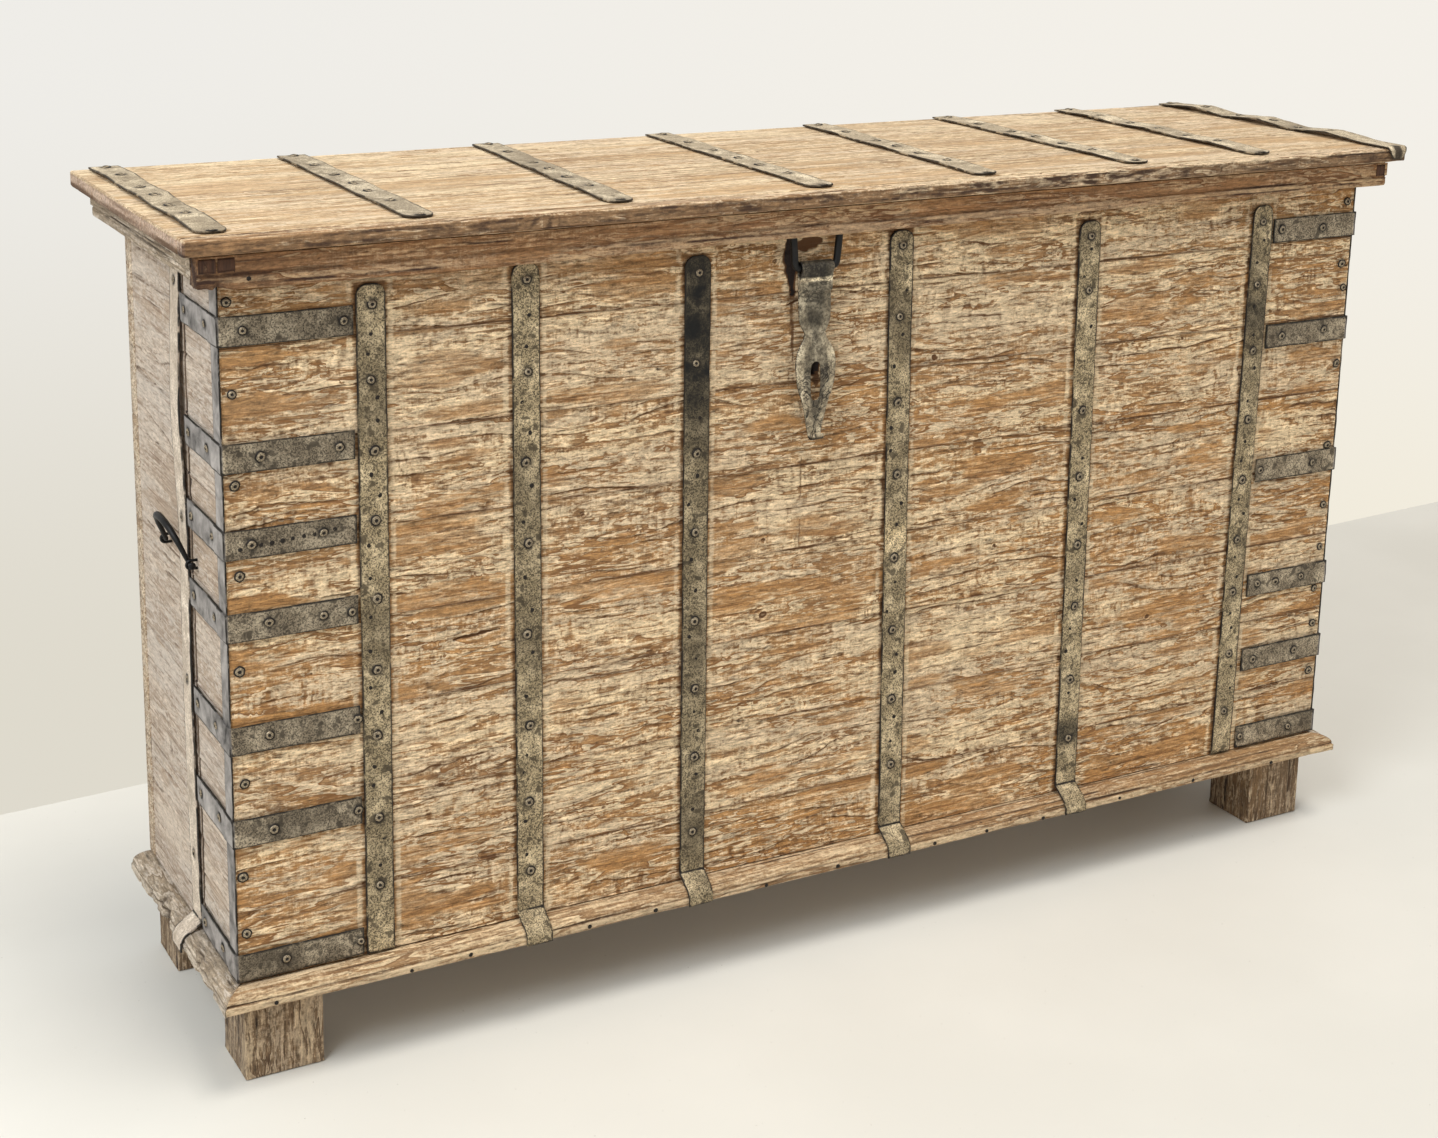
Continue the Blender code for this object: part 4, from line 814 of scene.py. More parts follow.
def wood(name, grain, deep, warm, cool, lime, lime_cool, line, crisp=1.0):
    """Weathered wood under worn limewash. The marks on the mesh say where it is dark, limed or warm."""
    make = Shader(name)

    def pattern(kind, shift=(0.0, 0.0, 0.0)):
        lengthwise, crosswise, *rest = WOOD_PATTERNS[kind]
        return make.noise(along(lengthwise, crosswise), *rest, shift)

    def along(lengthwise, crosswise):
        return [lengthwise if axis == grain else crosswise for axis in range(3)]

    def seam(lengthwise, crosswise, width, shift, strength):
        """Thin lines that wander along the grain, with a painted highlight as a pale lip above each and a
        soft painted shade below.
        """
        height = make.centred(make.noise(along(lengthwise, crosswise), 3.0, 0.5, 0.5, (shift,) * 3), 1.0)
        fade = make.span(make.noise(along(7.0, 30.0), 3.0, 0.6, 0.0, (shift, 0.0, shift)), 0.46, 0.58)
        drawn = make.times(make.span(make.math("ABSOLUTE", height), width, width * 0.2), fade)
        rise = make.times(make.span(height, 0.0, width), make.span(height, width * 4.5, width))
        fall = make.times(make.span(height, 0.0, -width), make.span(height, width * -6.0, -width))
        edge = make.math("SUBTRACT", make.times(rise, 0.8), make.times(fall, 0.7))
        return make.times(drawn, strength * crisp), make.times(edge, fade)

    streak, fibre, crumb, chip = (pattern(kind) for kind in ("streak", "fibre", "crumb", "chip"))
    # Painted light and shade: two looks at the ridges, shifted across the grain, give each a pale side and a
    # dark side
    ridge_light_and_shade = make.math("SUBTRACT", pattern("ridge"), pattern("ridge", along(0.0, RIDGE_SHIFT)))
    long_line, long_seam_light_and_shade = seam(*LONG_SEAM)
    short_line, short_seam_light_and_shade = seam(*SHORT_SEAM)
    bare = make.mix(make.mark("warm"), cool, warm)
    bare = make.mix(make.span(streak, 0.34, 0.50), deep, bare)
    chalk = make.mix(make.span(pattern("broad"), 0.40, 0.62), lime_cool, lime)
    # Random tone, plus the painted highlights and shade beside the seams and on the ridges
    uneven = make.times(make.plus(long_seam_light_and_shade, short_seam_light_and_shade), 0.9 * crisp)
    for part, strength in ((crumb, 0.6), (chip, 1.3), (pattern("cross"), 0.9)):
        uneven = make.plus(uneven, make.centred(part, strength * crisp))
    uneven = make.plus(uneven, make.times(ridge_light_and_shade, 1.5 * crisp))
    rugged = make.math("MULTIPLY_ADD", make.mark("skin"), -0.75, 1.0)
    share = make.plus(make.mark("lime"), make.times(uneven, rugged), make.centred(streak, 1.0))
    colour = make.mix(make.span(share, 0.04, 0.96), bare, chalk)
    # Lightness: painted light and shade on the ridges, times random tone of fibre, crumb and mottle
    shade = make.math("MULTIPLY_ADD", ridge_light_and_shade, 2.0 * crisp, 1.0)
    for part, strength in ((fibre, 0.4), (crumb, 0.7), (pattern("mottle"), 1.1)):
        shade = make.plus(shade, make.centred(part, strength * crisp))
    colour = make.mix(1.0, colour, shade, "MULTIPLY")
    drawn = make.times(make.math("MAXIMUM", long_line, short_line), rugged)
    colour = make.mix(make.span(drawn, 0.02, 0.75), colour, deep)
    dark = make.times(make.mark("dark"), make.math("MULTIPLY_ADD", chip, 1.9, 0.05))
    colour = make.mix(make.span(dark, 0.06, 0.85), colour, line)
    # Near black where marks pass 1.1: soot, and painted deep shade in the lock hole, the ends' gaps and round
    # the staple and hasp
    colour = make.mix(make.span(make.mark("dark"), 1.1, 1.7), colour, SOOT_AND_DEEP_SHADE)
    grimed = make.mix(1.0, colour, GRIME, "MULTIPLY")
    colour = make.mix(make.span(make.mark("warm"), -0.2, -0.8), colour, grimed)
    lift = make.plus(make.times(streak, 0.6), make.times(chip, 0.9), make.times(fibre, 0.3))
    make.bump(make.math("SUBTRACT", lift, make.times(drawn, 0.5)), 0.0010, 0.7)
    return make.finish(colour, make.math("MULTIPLY_ADD", crumb, 0.25, 0.70))


def iron(name, dark, middle, light, edge_colour, speck=620.0, metallic=0.35, rough=0.62, crackle=0.0,
         limed=None):
    """Old sheet iron: fine speckle, soft blotches, and dark along its edges and round its nails."""
    make = Shader(name)
    grain = make.noise(speck, 3.0, 0.7)
    cloud = make.noise(38.0, 4.0, 0.6, 0.4)
    patch = make.noise(9.0, 3.0, 0.5)
    blots = make.noise(95.0, 2.0, 0.5, 0.3)
    colour = make.mix(make.span(grain, 0.36, 0.64), dark, middle)
    colour = make.mix(make.times(make.span(cloud, 0.42, 0.68), make.span(grain, 0.30, 0.70)), colour, light)
    colour = make.mix(make.times(make.span(patch, 0.50, 0.72), 0.55), colour, dark)
    blotted = make.times(make.span(blots, 0.57, 0.67), make.span(grain, 0.25, 0.60), 0.9)
    colour = make.mix(blotted, colour, dark)
    tone = make.plus(make.mark("pale"), make.centred(cloud, 0.8))
    colour = make.mix(1.0, colour, tone, "MULTIPLY")
    if limed:
        chalk = make.mix(1.0, limed, make.math("MULTIPLY_ADD", cloud, 3.6, -0.8), "MULTIPLY")
        colour = make.mix(make.span(make.mark("pale"), 1.3, 1.8), colour, chalk)
    for scale in CRACKLE_SCALES if crackle else ():
        field = make.math("ABSOLUTE", make.centred(make.noise(scale, 4.0, 0.6, 1.0), 1.0))
        line = make.times(make.span(field, 0.030, 0.006), make.span(patch, 0.35, 0.55), crackle)
        colour = make.mix(line, colour, edge_colour)
    worn = make.times(make.mark("edge"), make.span(cloud, 0.20, 0.55))
    colour = make.mix(make.span(worn, 0.35, 0.9), colour, edge_colour)
    colour = make.mix(make.times(make.mark("nail"), make.span(grain, 0.15, 0.50)), colour, edge_colour)
    make.bump(make.plus(make.times(grain, 0.5), cloud), 0.0006, 0.55)
    return make.finish(colour, make.math("MULTIPLY_ADD", grain, 0.3, rough - 0.15), metallic)


def rim_tree(places):
    """Search tree over the places of a piece's sharp edges."""
    rim = KDTree(len(places))
    for place in places:
        rim.insert(place, 0)
    rim.balance()
    return rim


def refine(node, name, material, step, dents, bevel=0.0004, wobble=0.0004, **looks):
    """Finer copy of a sheet-iron node: softened edges, small cells, hammer dents and uneven edges."""
    bm = bmesh.new()
    bm.from_mesh(frame["nodes"][node].data)
    bmesh.ops.remove_doubles(bm, verts=bm.verts, dist=WELD)
    bmesh.ops.dissolve_limit(bm, angle_limit=FLAT_ANGLE, verts=bm.verts, edges=bm.edges)
    sharp = [edge for edge in bm.edges if edge.is_manifold and edge.calc_face_angle() > SHARP_ANGLE]
    along = []
    for edge in sharp:
        start, end = (vert.co for vert in edge.verts)
        count = int(edge.calc_length() / RIM_STEP) + 1
        along += [start.lerp(end, number / count) for number in range(count + 1)]
    bmesh.ops.bevel(bm, geom=sharp, offset=bevel, segments=2, profile=0.5, affect="EDGES")
    low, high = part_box(node)
    for axis in range(3):
        way = [float(axis == other) for other in range(3)]
        cells = int((high[axis] - low[axis]) / step)
        for number in range(1, cells):
            place = [0.0, 0.0, 0.0]
            place[axis] = low[axis] + (high[axis] - low[axis]) * number / cells
            everything = bm.verts[:] + bm.edges[:] + bm.faces[:]
            bmesh.ops.bisect_plane(bm, geom=everything, plane_co=place, plane_no=way, dist=CUT_NEAR)
    bm.normal_update()
    mesh = bpy.data.meshes.new(name)
    bm.to_mesh(mesh)
    bm.free()
    return hammered(name, mesh, material, rim_tree(along), dents, wobble, **looks)


def hammered(name, mesh, material, rim, dents, wobble, nails=(), tones=((0.0, 1.0),), tone_axis=2, warp=None,
             outline=0.0026, border=0.0):
    """Dents and waves a piece of iron, and marks its edges, the iron round its nails and how pale it is."""
    points, out = read_points(mesh)
    edge = np.array([rim.find(point)[2] for point in points])
    near = np.full(len(points), 1.0)
    for nail in nails:
        near = np.minimum(near, np.linalg.norm(points - np.array(nail), axis=1))
    x, y, z = points.T
    seed = sum(ord(letter) for letter in name)
    dent = dents * layered(x / DENT_SIZE, y / DENT_SIZE, z / DENT_SIZE, seed, 2)
    waves = [noise(x / WAVE_SIZE, y / WAVE_SIZE, z / WAVE_SIZE, seed + 40 + axis) for axis in range(3)]
    points = points + out * dent[:, None] + wobble * np.stack(waves, axis=1)
    pale = np.interp(points[:, tone_axis], *zip(*tones))
    pale = pale * (1 - border * ramp(*BORDER, edge) * (pale < LIMED_TONE))
    marks = {"edge": ramp(outline, EDGE_DARK, edge), "nail": ramp(*NAIL_SHADE, near), "pale": pale}
    write_points(mesh, warp(points) if warp else points, marks)
    mesh.shade_smooth()
    return link(name, mesh, material)


def nail_heads(name, spots, body, radius=NAIL_RADIUS, height=NAIL_HEIGHT, dark_rings=NAIL_DARK_RINGS):
    """Domed nail heads, each a little different, with a small dark dimple and a painted shadow ring round the
    base.
    """
    points, faces, dimple_and_shadow_ring = [], [], []
    for number, (place, way) in enumerate(spots):
        tilt = Vector([NAIL_TILT * v for v in scatter(number, 3)])
        turned = (Vector(way).normalized() + tilt).normalized().to_track_quat("Z", "X")
        size = radius * (1.0 + NAIL_SPREAD * scatter(number + 71, 1)[0])
        start = len(points)
        for ring, (wide, tall) in enumerate(NAIL_PROFILE):
            for side in range(NAIL_SIDES):
                turn = 2 * math.pi * side / NAIL_SIDES
                uneven = wide * size * (1.0 + NAIL_UNEVEN * scatter(number * 31 + side, 1)[0])
                spot = Vector((math.cos(turn) * uneven, math.sin(turn) * uneven, tall * height))
                points.append(Vector(place) + turned @ spot)
                dimple_and_shadow_ring.append(1.0 if ring in dark_rings else 0.0)
        points.append(Vector(place) + turned @ Vector((0.0, 0.0, height * NAIL_DIMPLE)))
        dimple_and_shadow_ring.append(1.0)
        last = start + (len(NAIL_PROFILE) - 1) * NAIL_SIDES
        for ring in range(start, last, NAIL_SIDES):
            for side in range(NAIL_SIDES):
                here, after = ring + side, ring + (side + 1) % NAIL_SIDES
                faces.append((here, after, after + NAIL_SIDES, here + NAIL_SIDES))
        middle = last + NAIL_SIDES
        faces += [(last + side, last + (side + 1) % NAIL_SIDES, middle) for side in range(NAIL_SIDES)]
    mesh = bpy.data.meshes.new(name)
    mesh.from_pydata(points, [], faces)
    mesh.attributes.new("pit", "FLOAT", "POINT").data.foreach_set("value", dimple_and_shadow_ring)
    mesh.shade_smooth()
    made = link(name, mesh, NAIL_IRON)
    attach(made, body)


def front_nails(name, places, *sizes):
    """Nails driven into the front at the given places."""
    nail_heads(name, [(place, (0, -1, 0)) for place in places], "case", *sizes)


def stubs(name, places):
    """Small dark nail stubs hammered almost flat into the front."""
    front_nails(name, places, *STUB_SIZE, range(len(NAIL_PROFILE)))


def scatter(number, count):
    """Repeatable random values from -1 to 1."""
    return [float(lattice(np.int64(number), np.int64(index), np.int64(3), 11)) for index in range(count)]


def jitter(reach, number):
    return reach * scatter(int(number), 1)[0]


def nail_iron():
    make = Shader("nail_iron_finish")
    grain = make.noise(900.0, 3.0, 0.6)
    colour = make.mix(make.span(grain, 0.35, 0.65), (0.110, 0.085, 0.055), (0.42, 0.34, 0.23))
    # Near black on the dimple and on the painted shadow ring round the head's base
    colour = make.mix(make.span(make.mark("pit"), 0.25, 0.75), colour, (0.014, 0.010, 0.007))
    make.bump(grain, 0.0004, 0.5)
    return make.finish(colour, 0.5, 0.5)


def spans(low, high, shares):
    edges = [low + (high - low) * share for share in shares]
    return [(lower + BOARD_GAP / 2, upper - BOARD_GAP / 2) for lower, upper in zip(edges, edges[1:])]


def front_wear(points, depth, marks):
    """Marks at their own places of the front: gouges, knots and painted shadows round the hasp, dirt and
    painted shade by the straps with pale margins beyond, the lock hole painted black as its shade.
    """
    x, y, z = points.T
    depth, marks = scarred((x, z), depth, marks, FRONT_SCARS, FRONT_KNOTS)
    beside = np.full(len(x), 1.0)
    for number in range(1, len(FRONT_NAILS) + 1):
        across = np.abs(x - front_strap_x(number, z)) - STRAP_HALF
        beside = np.minimum(beside, np.maximum(across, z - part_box(f"front_strap_{number}")[1][2]))
    patchy = 0.5 + 0.5 * noise(x / 0.05, y / 0.05, z / 0.035, 63)
    # Dirt with painted shade close along each strap's edges
    dirt_and_shade = ramp(*STRAP_DIRT_AND_SHADE, beside) * patchy
    margin = ramp(*STRAP_MARGIN[0], beside) * ramp(*STRAP_MARGIN[1], beside) * (1 - 0.6 * patchy)
    browned = ramp(*BROWNED_X, x)
    dark = marks["dark"] * (1 - 0.6 * margin)
    dark = np.clip(dark + 0.75 * dirt_and_shade, 0.0, np.maximum(dark, 1.0))
    lime = np.clip(marks["lime"] + 0.7 * margin - 0.4 * dirt_and_shade - 0.20 * browned, 0.0, 1.0)
    warm = np.clip(marks["warm"] + 0.45 * x / END_X - 0.9 * (z - 0.5) + 0.35 * browned, 0.0, 1.0)
    joint = np.min([np.abs(z - height) for height in FRONT_JOINTS], axis=0)
    line = ramp(*JOINT_LINE, joint) * (0.40 + 0.38 * noise(x / 0.07, z / 0.5, 0 * x, 67))
    left, right, bottom, top = LOCK_HOLE
    hole = (x > left) & (x < right) & (z > bottom) & (z < top) & (y < FRONT_Y + LOCK_HOLE_FACE)
    marks = {"dark": np.maximum(dark, line), "lime": lime, "warm": warm, "skin": marks["skin"]}
    # Inside the lock hole the wood is painted black as its shade
    marks = {mark: np.where(hole, 2.0 * (mark == "dark"), values) for mark, values in marks.items()}
    return np.where(hole, LOCK_HOLE_DEPTH, depth), marks


def front_strap_x(number, z):
    """Middle of an upright strap of the front at a height: some straps lean."""
    high, low = FRONT_STRAP_HIGH[number - 1], FRONT_STRAP_LOW[number - 1]
    return high + (low - high) * (WALL_TOP - z) / (WALL_TOP - WALL_BOTTOM)


def front_boards():
    for number, (low, high) in enumerate(spans(WALL_BOTTOM, WALL_TOP, FRONT_SHARES), start=1):
        corners = (-END_X, FRONT_Y, low), (END_X, FRONT_Y + BOARD_THICK, high)
        made = plank(*corners, 0, 1, -1, FRONT_STEPS, number, LOOKS["front"], own=front_wear)
        dress(mesh_object(f"board_front_{number}", [made], FRONT_WOOD), f"front_board_{number}")


def lid_wear(points, depth, marks):
    """Gouges in the lid, and darker end grain whose streaks run from front to back."""
    x, y, z = points.T
    end = ramp(*LID_END_X, np.abs(x))
    streak = layered(y / 0.09, z / 0.0035, 0 * x, 68, 3)
    shade = 0.22 - 0.5 * streak + 0.5 * ramp(0.920, 0.914, z)
    marks["lime"] = np.clip(marks["lime"] * (1 - end) + end * (0.30 + 0.6 * streak), 0.0, 1.0)
    marks["dark"] = np.clip(marks["dark"] * (1 - end) + end * shade, 0.0, 1.0)
    marks["warm"] = marks["warm"] * (1 - end) - end * ramp(0.928, 0.925, z)
    return scarred((x, y), depth, marks, LID_SCARS, ())


def edge_wear(points, depth, marks):
    """The front edge board: a rough brown face, crumbled in places, under a pale rounded arris."""
    depth, marks = lid_wear(points, depth, marks)
    x, y, z = points.T
    face = ramp(-0.2205, -0.2240, y)
    rough = 0.5 + 0.5 * layered(x / 0.018, y / 0.010, z / 0.0040, 66, 3)
    broken = ramp(0.10, 0.45, noise(x / 0.045, z / 0.05, 0 * z, 67))
    broken = broken * ramp(-0.12, 0.02, x) * ramp(0.50, 0.36, x)
    arris = ramp(0.0034, 0.0012, np.hypot(y + 0.2250, z - 0.9284)) * (1 - 0.8 * broken)
    depth = depth + face * (0.0003 + 0.0008 * rough) + 0.0014 * broken * face * rough
    dark = marks["dark"] + face * (0.06 + 0.34 * ramp(0.45, 0.80, rough))
    dark = dark + 0.35 * broken * face * ramp(0.45, 0.7, rough)
    marks["dark"] = np.clip(dark * (1 - 0.7 * arris), 0.0, 1.0)
    marks["lime"] = np.clip(marks["lime"] + 0.30 - face * (0.80 - 0.55 * broken) + 0.75 * arris, 0.0, 1.0)
    return depth, marks


def lid():
    boards = ("lid_board_front", "lid_board_middle", "lid_board_back")
    for number, (node, (near, far)) in enumerate(zip(boards, spans(LID_JOINT_Y, LID_BACK_Y, LID_SHARES))):
        corners = (-LID_REACH, near, LID_BOTTOM), (LID_REACH, far, LID_TOP)
        made = plank(*corners, 0, 2, 1, LID_STEPS, 20 + number, LOOKS["lid"], 0.003, 8, lid_wear)
        dress(mesh_object(f"plank_{node}", [made], LID_WOOD), node)
    corners = (-LID_REACH, LID_FRONT_Y, LID_BOTTOM), (LID_REACH, LID_JOINT_Y - LID_EDGE_GAP, LID_TOP)
    made = plank(*corners, 0, 2, 1, EDGE_STEPS, 29, LOOKS["lid"], 0.004, 12, edge_wear, snug=False)
    dress(mesh_object("plank_lid_front_edge", [made], EDGE_WOOD), "lid_front_edge")


def straps():
    for number, heights in enumerate(FRONT_NAILS, start=1):
        across = [front_strap_x(number, z) + jitter(STRAP_NAIL_JITTER, z * 1000) for z in heights]
        places = [(x, STRAP_FACE_Y, z) for x, z in zip(across, heights)]
        node = f"front_strap_{number}"
        spots = [(place, (0, -1, 0)) for place in places]
        sheet(node, spots, STRAP_IRON, dents=0.00035, tones=STRAP_TONES[number - 1])
        small = []
        for count, (above, below) in enumerate(zip(places, places[1:])):
            for part in STUB_SHARES:
                across, along = scatter(100 * (number - 1) + 2 * count + int(3 * part), 2)
                spot = np.array(above) + (np.array(below) - above) * (part + 0.10 * along)
                small.append(tuple(spot + (STUB_REACH * across, 0.0, 0.0)))
        stubs(f"stubs_{node}", small)


def side_wear(points, depth, marks):
    """A gap runs down the boards in front of the upright strap: sunk a little, dark with dirt and painted
    black as its shade.
    """
    x, y, z = points.T
    line = SIDE_GAP_Y + 0.0015 * noise(z / 0.05, z / 0.3, 0 * z, 65)
    gap = ramp(*SIDE_GAP_HALF, np.abs(y - line))
    # Painted black as the gap's shade, with dirt
    marks["dark"] = np.maximum(marks["dark"], 1.6 * gap)
    marks["lime"] = marks["lime"] * (1 - gap)
    return depth + SIDE_GAP_DEPTH * gap, marks


def side_walls():
    for name, side in SIDES:
        courses = []
        for number, (low, high) in enumerate(spans(WALL_BOTTOM, WALL_TOP, SIDE_SHARES)):
            x = sorted((side * END_X, side * (END_X - BOARD_THICK)))
            corners = (x[0], INSIDE_Y[0], low), (x[1], INSIDE_Y[1], high)
            seed = 40 + number + 10 * (side > 0)
            courses.append(plank(*corners, 1, 0, side, SIDE_STEPS, seed, LOOKS["side"], own=side_wear))
        dress(mesh_object(f"boards_{name}_end", courses, SIDE_WOOD), f"{name}_side_panel")


def back_wall():
    courses = []
    for number, (low, high) in enumerate(spans(WALL_BOTTOM, WALL_TOP, BACK_SHARES)):
        corners = (-END_X, BACK_Y - BOARD_THICK, low), (END_X, BACK_Y, high)
        courses.append(plank(*corners, 0, 1, 1, BACK_STEPS, 70 + number, LOOKS["side"]))
    dress(mesh_object("boards_back", courses, BACK_WOOD), "back_panel")


def floor_boards():
    reach = END_X - BOARD_THICK - BOARD_GAP
    courses = []
    for number, (low, high) in enumerate(spans(*INSIDE_Y, FLOOR_SHARES)):
        corners = (-reach, low, WALL_BOTTOM), (reach, high, WALL_BOTTOM + FLOOR_THICK)
        courses.append(plank(*corners, 0, 2, 1, FLOOR_STEPS, 80 + number, LOOKS["plain"]))
    dress(mesh_object("boards_floor", courses, BACK_WOOD), "floor_panel")


def feet():
    for node in ("foot_front_left", "foot_front_right", "foot_back_left", "foot_back_right"):
        seed = 90 + sum(ord(letter) for letter in node) % 17
        made = plank(*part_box(node), 2, 1, -1, FOOT_STEPS, seed, LOOKS["foot"], 0.0030, 34, snug=False)
        dress(mesh_object(f"block_{node}", [made], FOOT_WOOD), node)


def moulding(node, profile, ends, place, grain, seed, look, material, eased=True, warp=None):
    """Moulded rail: a closed profile of (outward, z) run between its ends, then weathered."""
    outline = []
    for here, there in zip(profile, profile[1:] + profile[:1]):
        hidden = here[0] <= 0 and there[0] <= 0
        cells = max(1, round(math.dist(here, there) / (HIDDEN_STEP if hidden else PROFILE_STEP)))
        outline += [tuple(np.array(here) + (np.array(there) - here) * k / cells) for k in range(cells)]
    outline = np.array(outline)
    middle = outline.mean(axis=0)
    low, high = ends(0.0)
    count = round((high - low) / RAIL_STEP)
    stations = [(k / count, 0.0) for k in range(count + 1)]
    if eased:
        far_ease = [(1 - share, shrink) for share, shrink in reversed(RAIL_EASE)]
        stations = RAIL_EASE + stations[1:-1] + far_ease
    low, high = np.array([ends(outward) for outward in outline[:, 0]]).T
    rings = []
    for share, shrink in stations:
        here = outline + (middle - outline) * shrink
        rings.append(place(low + (high - low) * share, here[:, 0], here[:, 1]))
    made = tube(f"{node}_run", rings, material)
    points, out = read_points(made.data)
    depth, marks = weather(points, grain, seed, look)
    points = points - out * depth[:, None]
    if warp:
        points, marks = warp(points, marks)
    write_points(made.data, points, marks)
    return dress(made, node)


def quarter(reach, rise, middle, height, steps, way):
    """Quarter round of a profile, from straight up or down round to straight out."""
    turns = [math.pi / 2 * k / steps for k in range(steps + 1)]
    return [(middle + reach * math.sin(turn), height + way * rise * math.cos(turn)) for turn in turns]


SILL_PROFILE = [(-0.040, 0.0973), (-0.040, 0.1203)]
SILL_PROFILE += quarter(0.0195, 0.0125, 0.003, 0.1078, 12, 1)[:-1]
SILL_PROFILE += [(0.0222, 0.1086), (0.0226, 0.1076), (0.0240, 0.1066), (0.0240, 0.0988), (0.0225, 0.0973)]
CORNICE_PROFILE = [(0.0015, 0.8777)] + quarter(0.004, 0.004, 0.022, 0.8817, 4, -1)
CORNICE_PROFILE += [(0.026, 0.8893), (0.0246, 0.8903), (0.0252, 0.8914), (0.028, 0.8920), (0.028, 0.9102)]
CORNICE_PROFILE += [(0.0015, 0.9102)]


def facing_front(along, outward, z):
    return np.stack([along, FRONT_Y - outward, z], axis=1)


def facing_side(side):
    def place(along, outward, z):
        return np.stack([side * (END_X + outward), along, z], axis=1)
    return place


def cornice_sag(points, marks):
    """The cornice is deeper towards the left, worn off below its left end, and has a paler lower edge:
    limewash and painted highlight.
    """
    x, y, z = points.T
    share = ramp(0.8950, 0.8800, z)
    worn = ramp(-0.730, -0.760, x) * (0.5 + 0.5 * noise(x / 0.006, y / 0.01, z / 0.01, 64))
    drop = np.interp(x, CORNICE_SAG_PLACES, CORNICE_SAG) * (1 - 0.9 * worn)
    points = np.stack([x, y + 0.004 * worn * share, z - drop * share], axis=1)
    # Paler lower bead: limewash, and a painted highlight
    bead = ramp(0.8905, 0.8885, z) * ramp(-0.55, -0.15, x)
    grimy = ramp(-0.55, -0.72, x) * (0.5 + 0.5 * layered(x / 0.03, y / 0.01, z / 0.010, 72, 2))
    groove = ramp(0.0030, 0.0010, np.abs(z - 0.8905))
    marks["lime"] = np.clip(marks["lime"] + 0.75 * bead - 0.15, 0.0, 1.0)
    marks["dark"] = np.clip(marks["dark"] + 0.30 * groove + 0.5 * worn * share + 0.45 * grimy, 0.0, 1.0)
    marks["warm"] = marks["warm"] * (1 - grimy)
    return points, marks


def sill_wear(points, marks):
    """The sill's round is browner, its square lower edge worn pale, with a dark line between them."""
    z = points[:, 2]
    pale = ramp(0.1078, 0.1058, z)
    line = ramp(0.0016, 0.0004, np.abs(z - 0.1080))
    marks["lime"] = np.clip(marks["lime"] + 0.45 * pale - 0.05, 0.0, 1.0)
    marks["dark"] = np.clip(marks["dark"] * (1 - 0.4 * pale) + 0.55 * line, 0.0, 1.0)
    return points, marks


def tenon_wear(points, depth, marks):
    """The ends of the cornice's side rails are dark end grain without limewash."""
    x, y, z = points.T
    marks["dark"] = 0.30 + 0.30 * noise(x / 0.009, y / 0.02, z / 0.009, 69)
    marks["lime"] = np.full(len(x), -0.3)
    marks["warm"] = np.full(len(x), 0.7)
    return depth, marks


def side_rail_wear(points, marks):
    """The side rails of the sill are chewed: lumps out of the outer edge, dark where they broke off."""
    points, marks = sill_wear(points, marks)
    x, y, z = points.T
    lump = layered(y / 0.022, z / 0.030, 0 * x, 70, 2)
    outer = ramp(0.006, 0.022, np.abs(x) - END_X)
    bite = ramp(0.05, 0.60, lump) * outer
    droop = CHEWED_DROOP * outer * noise(y / 0.035, 0 * y, 0 * y, 71)
    points = np.stack([x - np.sign(x) * CHEWED_DEPTH * bite, y, z - droop], axis=1)
    marks["dark"] = np.clip(marks["dark"] + 0.65 * bite, 0.0, 1.0)
    marks["lime"] = np.clip(marks["lime"] - 0.3 * bite + 0.3 * outer * ramp(0.0, -0.5, lump), 0.0, 1.0)
    return points, marks


def mouldings():
    plain = LOOKS["plain"]

    def front_ends(outward):
        return -END_X - outward, END_X + outward

    def side_ends(outward):
        return FRONT_Y - outward + BOARD_GAP, BACK_Y

    moulding("base_moulding_front", SILL_PROFILE, front_ends, facing_front, 0, 101, plain, RAIL_WOOD,
             eased=False, warp=sill_wear)
    moulding("cornice_front", CORNICE_PROFILE, lambda outward: CORNICE_X, facing_front, 0, 103, plain,
             CORNICE_WOOD, warp=cornice_sag)
    for number, (name, side) in enumerate(SIDES):
        place = facing_side(side)
        moulding(f"base_moulding_{name}", SILL_PROFILE, side_ends, place, 1, 105 + number, LOOKS["foot"],
                 SIDE_RAIL_WOOD, eased=False, warp=side_rail_wear)
        for end, (inner, outer) in enumerate(TENONS[name]):
            box = zip((inner, outer), TENON_Y, TENON_Z)
            seed = 115 + number + 2 * end
            made = plank(*box, 0, 1, -1, TENON_STEPS, seed, plain, 0.0006, 3, tenon_wear, False)
            dress(mesh_object(f"tenon_{name}_{end + 1}", [made], TENON_WOOD), f"cornice_{name}")
        moulding(f"cornice_{name}", CORNICE_PROFILE, lambda outward: CORNICE_Y, place, 1, 107 + number, plain,
                 SIDE_RAIL_WOOD)
    made = plank(*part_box("base_rail_back"), 0, 1, 1, BACK_RAIL_STEPS, 111, plain)
    dress(mesh_object("rail_base_back", [made], BACK_WOOD), "base_rail_back")


def smooth_route(points, steps):
    """Points along a smooth curve through the given rows of numbers."""
    rows = np.array(points, float)
    rows = np.vstack([2 * rows[0] - rows[1], rows, 2 * rows[-1] - rows[-2]])
    made = []
    for before, here, there, after in zip(rows, rows[1:], rows[2:], rows[3:]):
        for step in range(steps):
            t = step / steps
            made.append(0.5 * (2 * here + (there - before) * t
                               + (2 * before - 5 * here + 4 * there - after) * t * t
                               + (3 * here - before - 3 * there + after) * t ** 3))
    made.append(rows[-2])
    return np.array(made)


def mirrored(rows):
    """Rows that start with a place along a bar, and their mirror image behind them."""
    return rows + [(-along, *rest) for along, *rest in reversed(rows[:-1])]


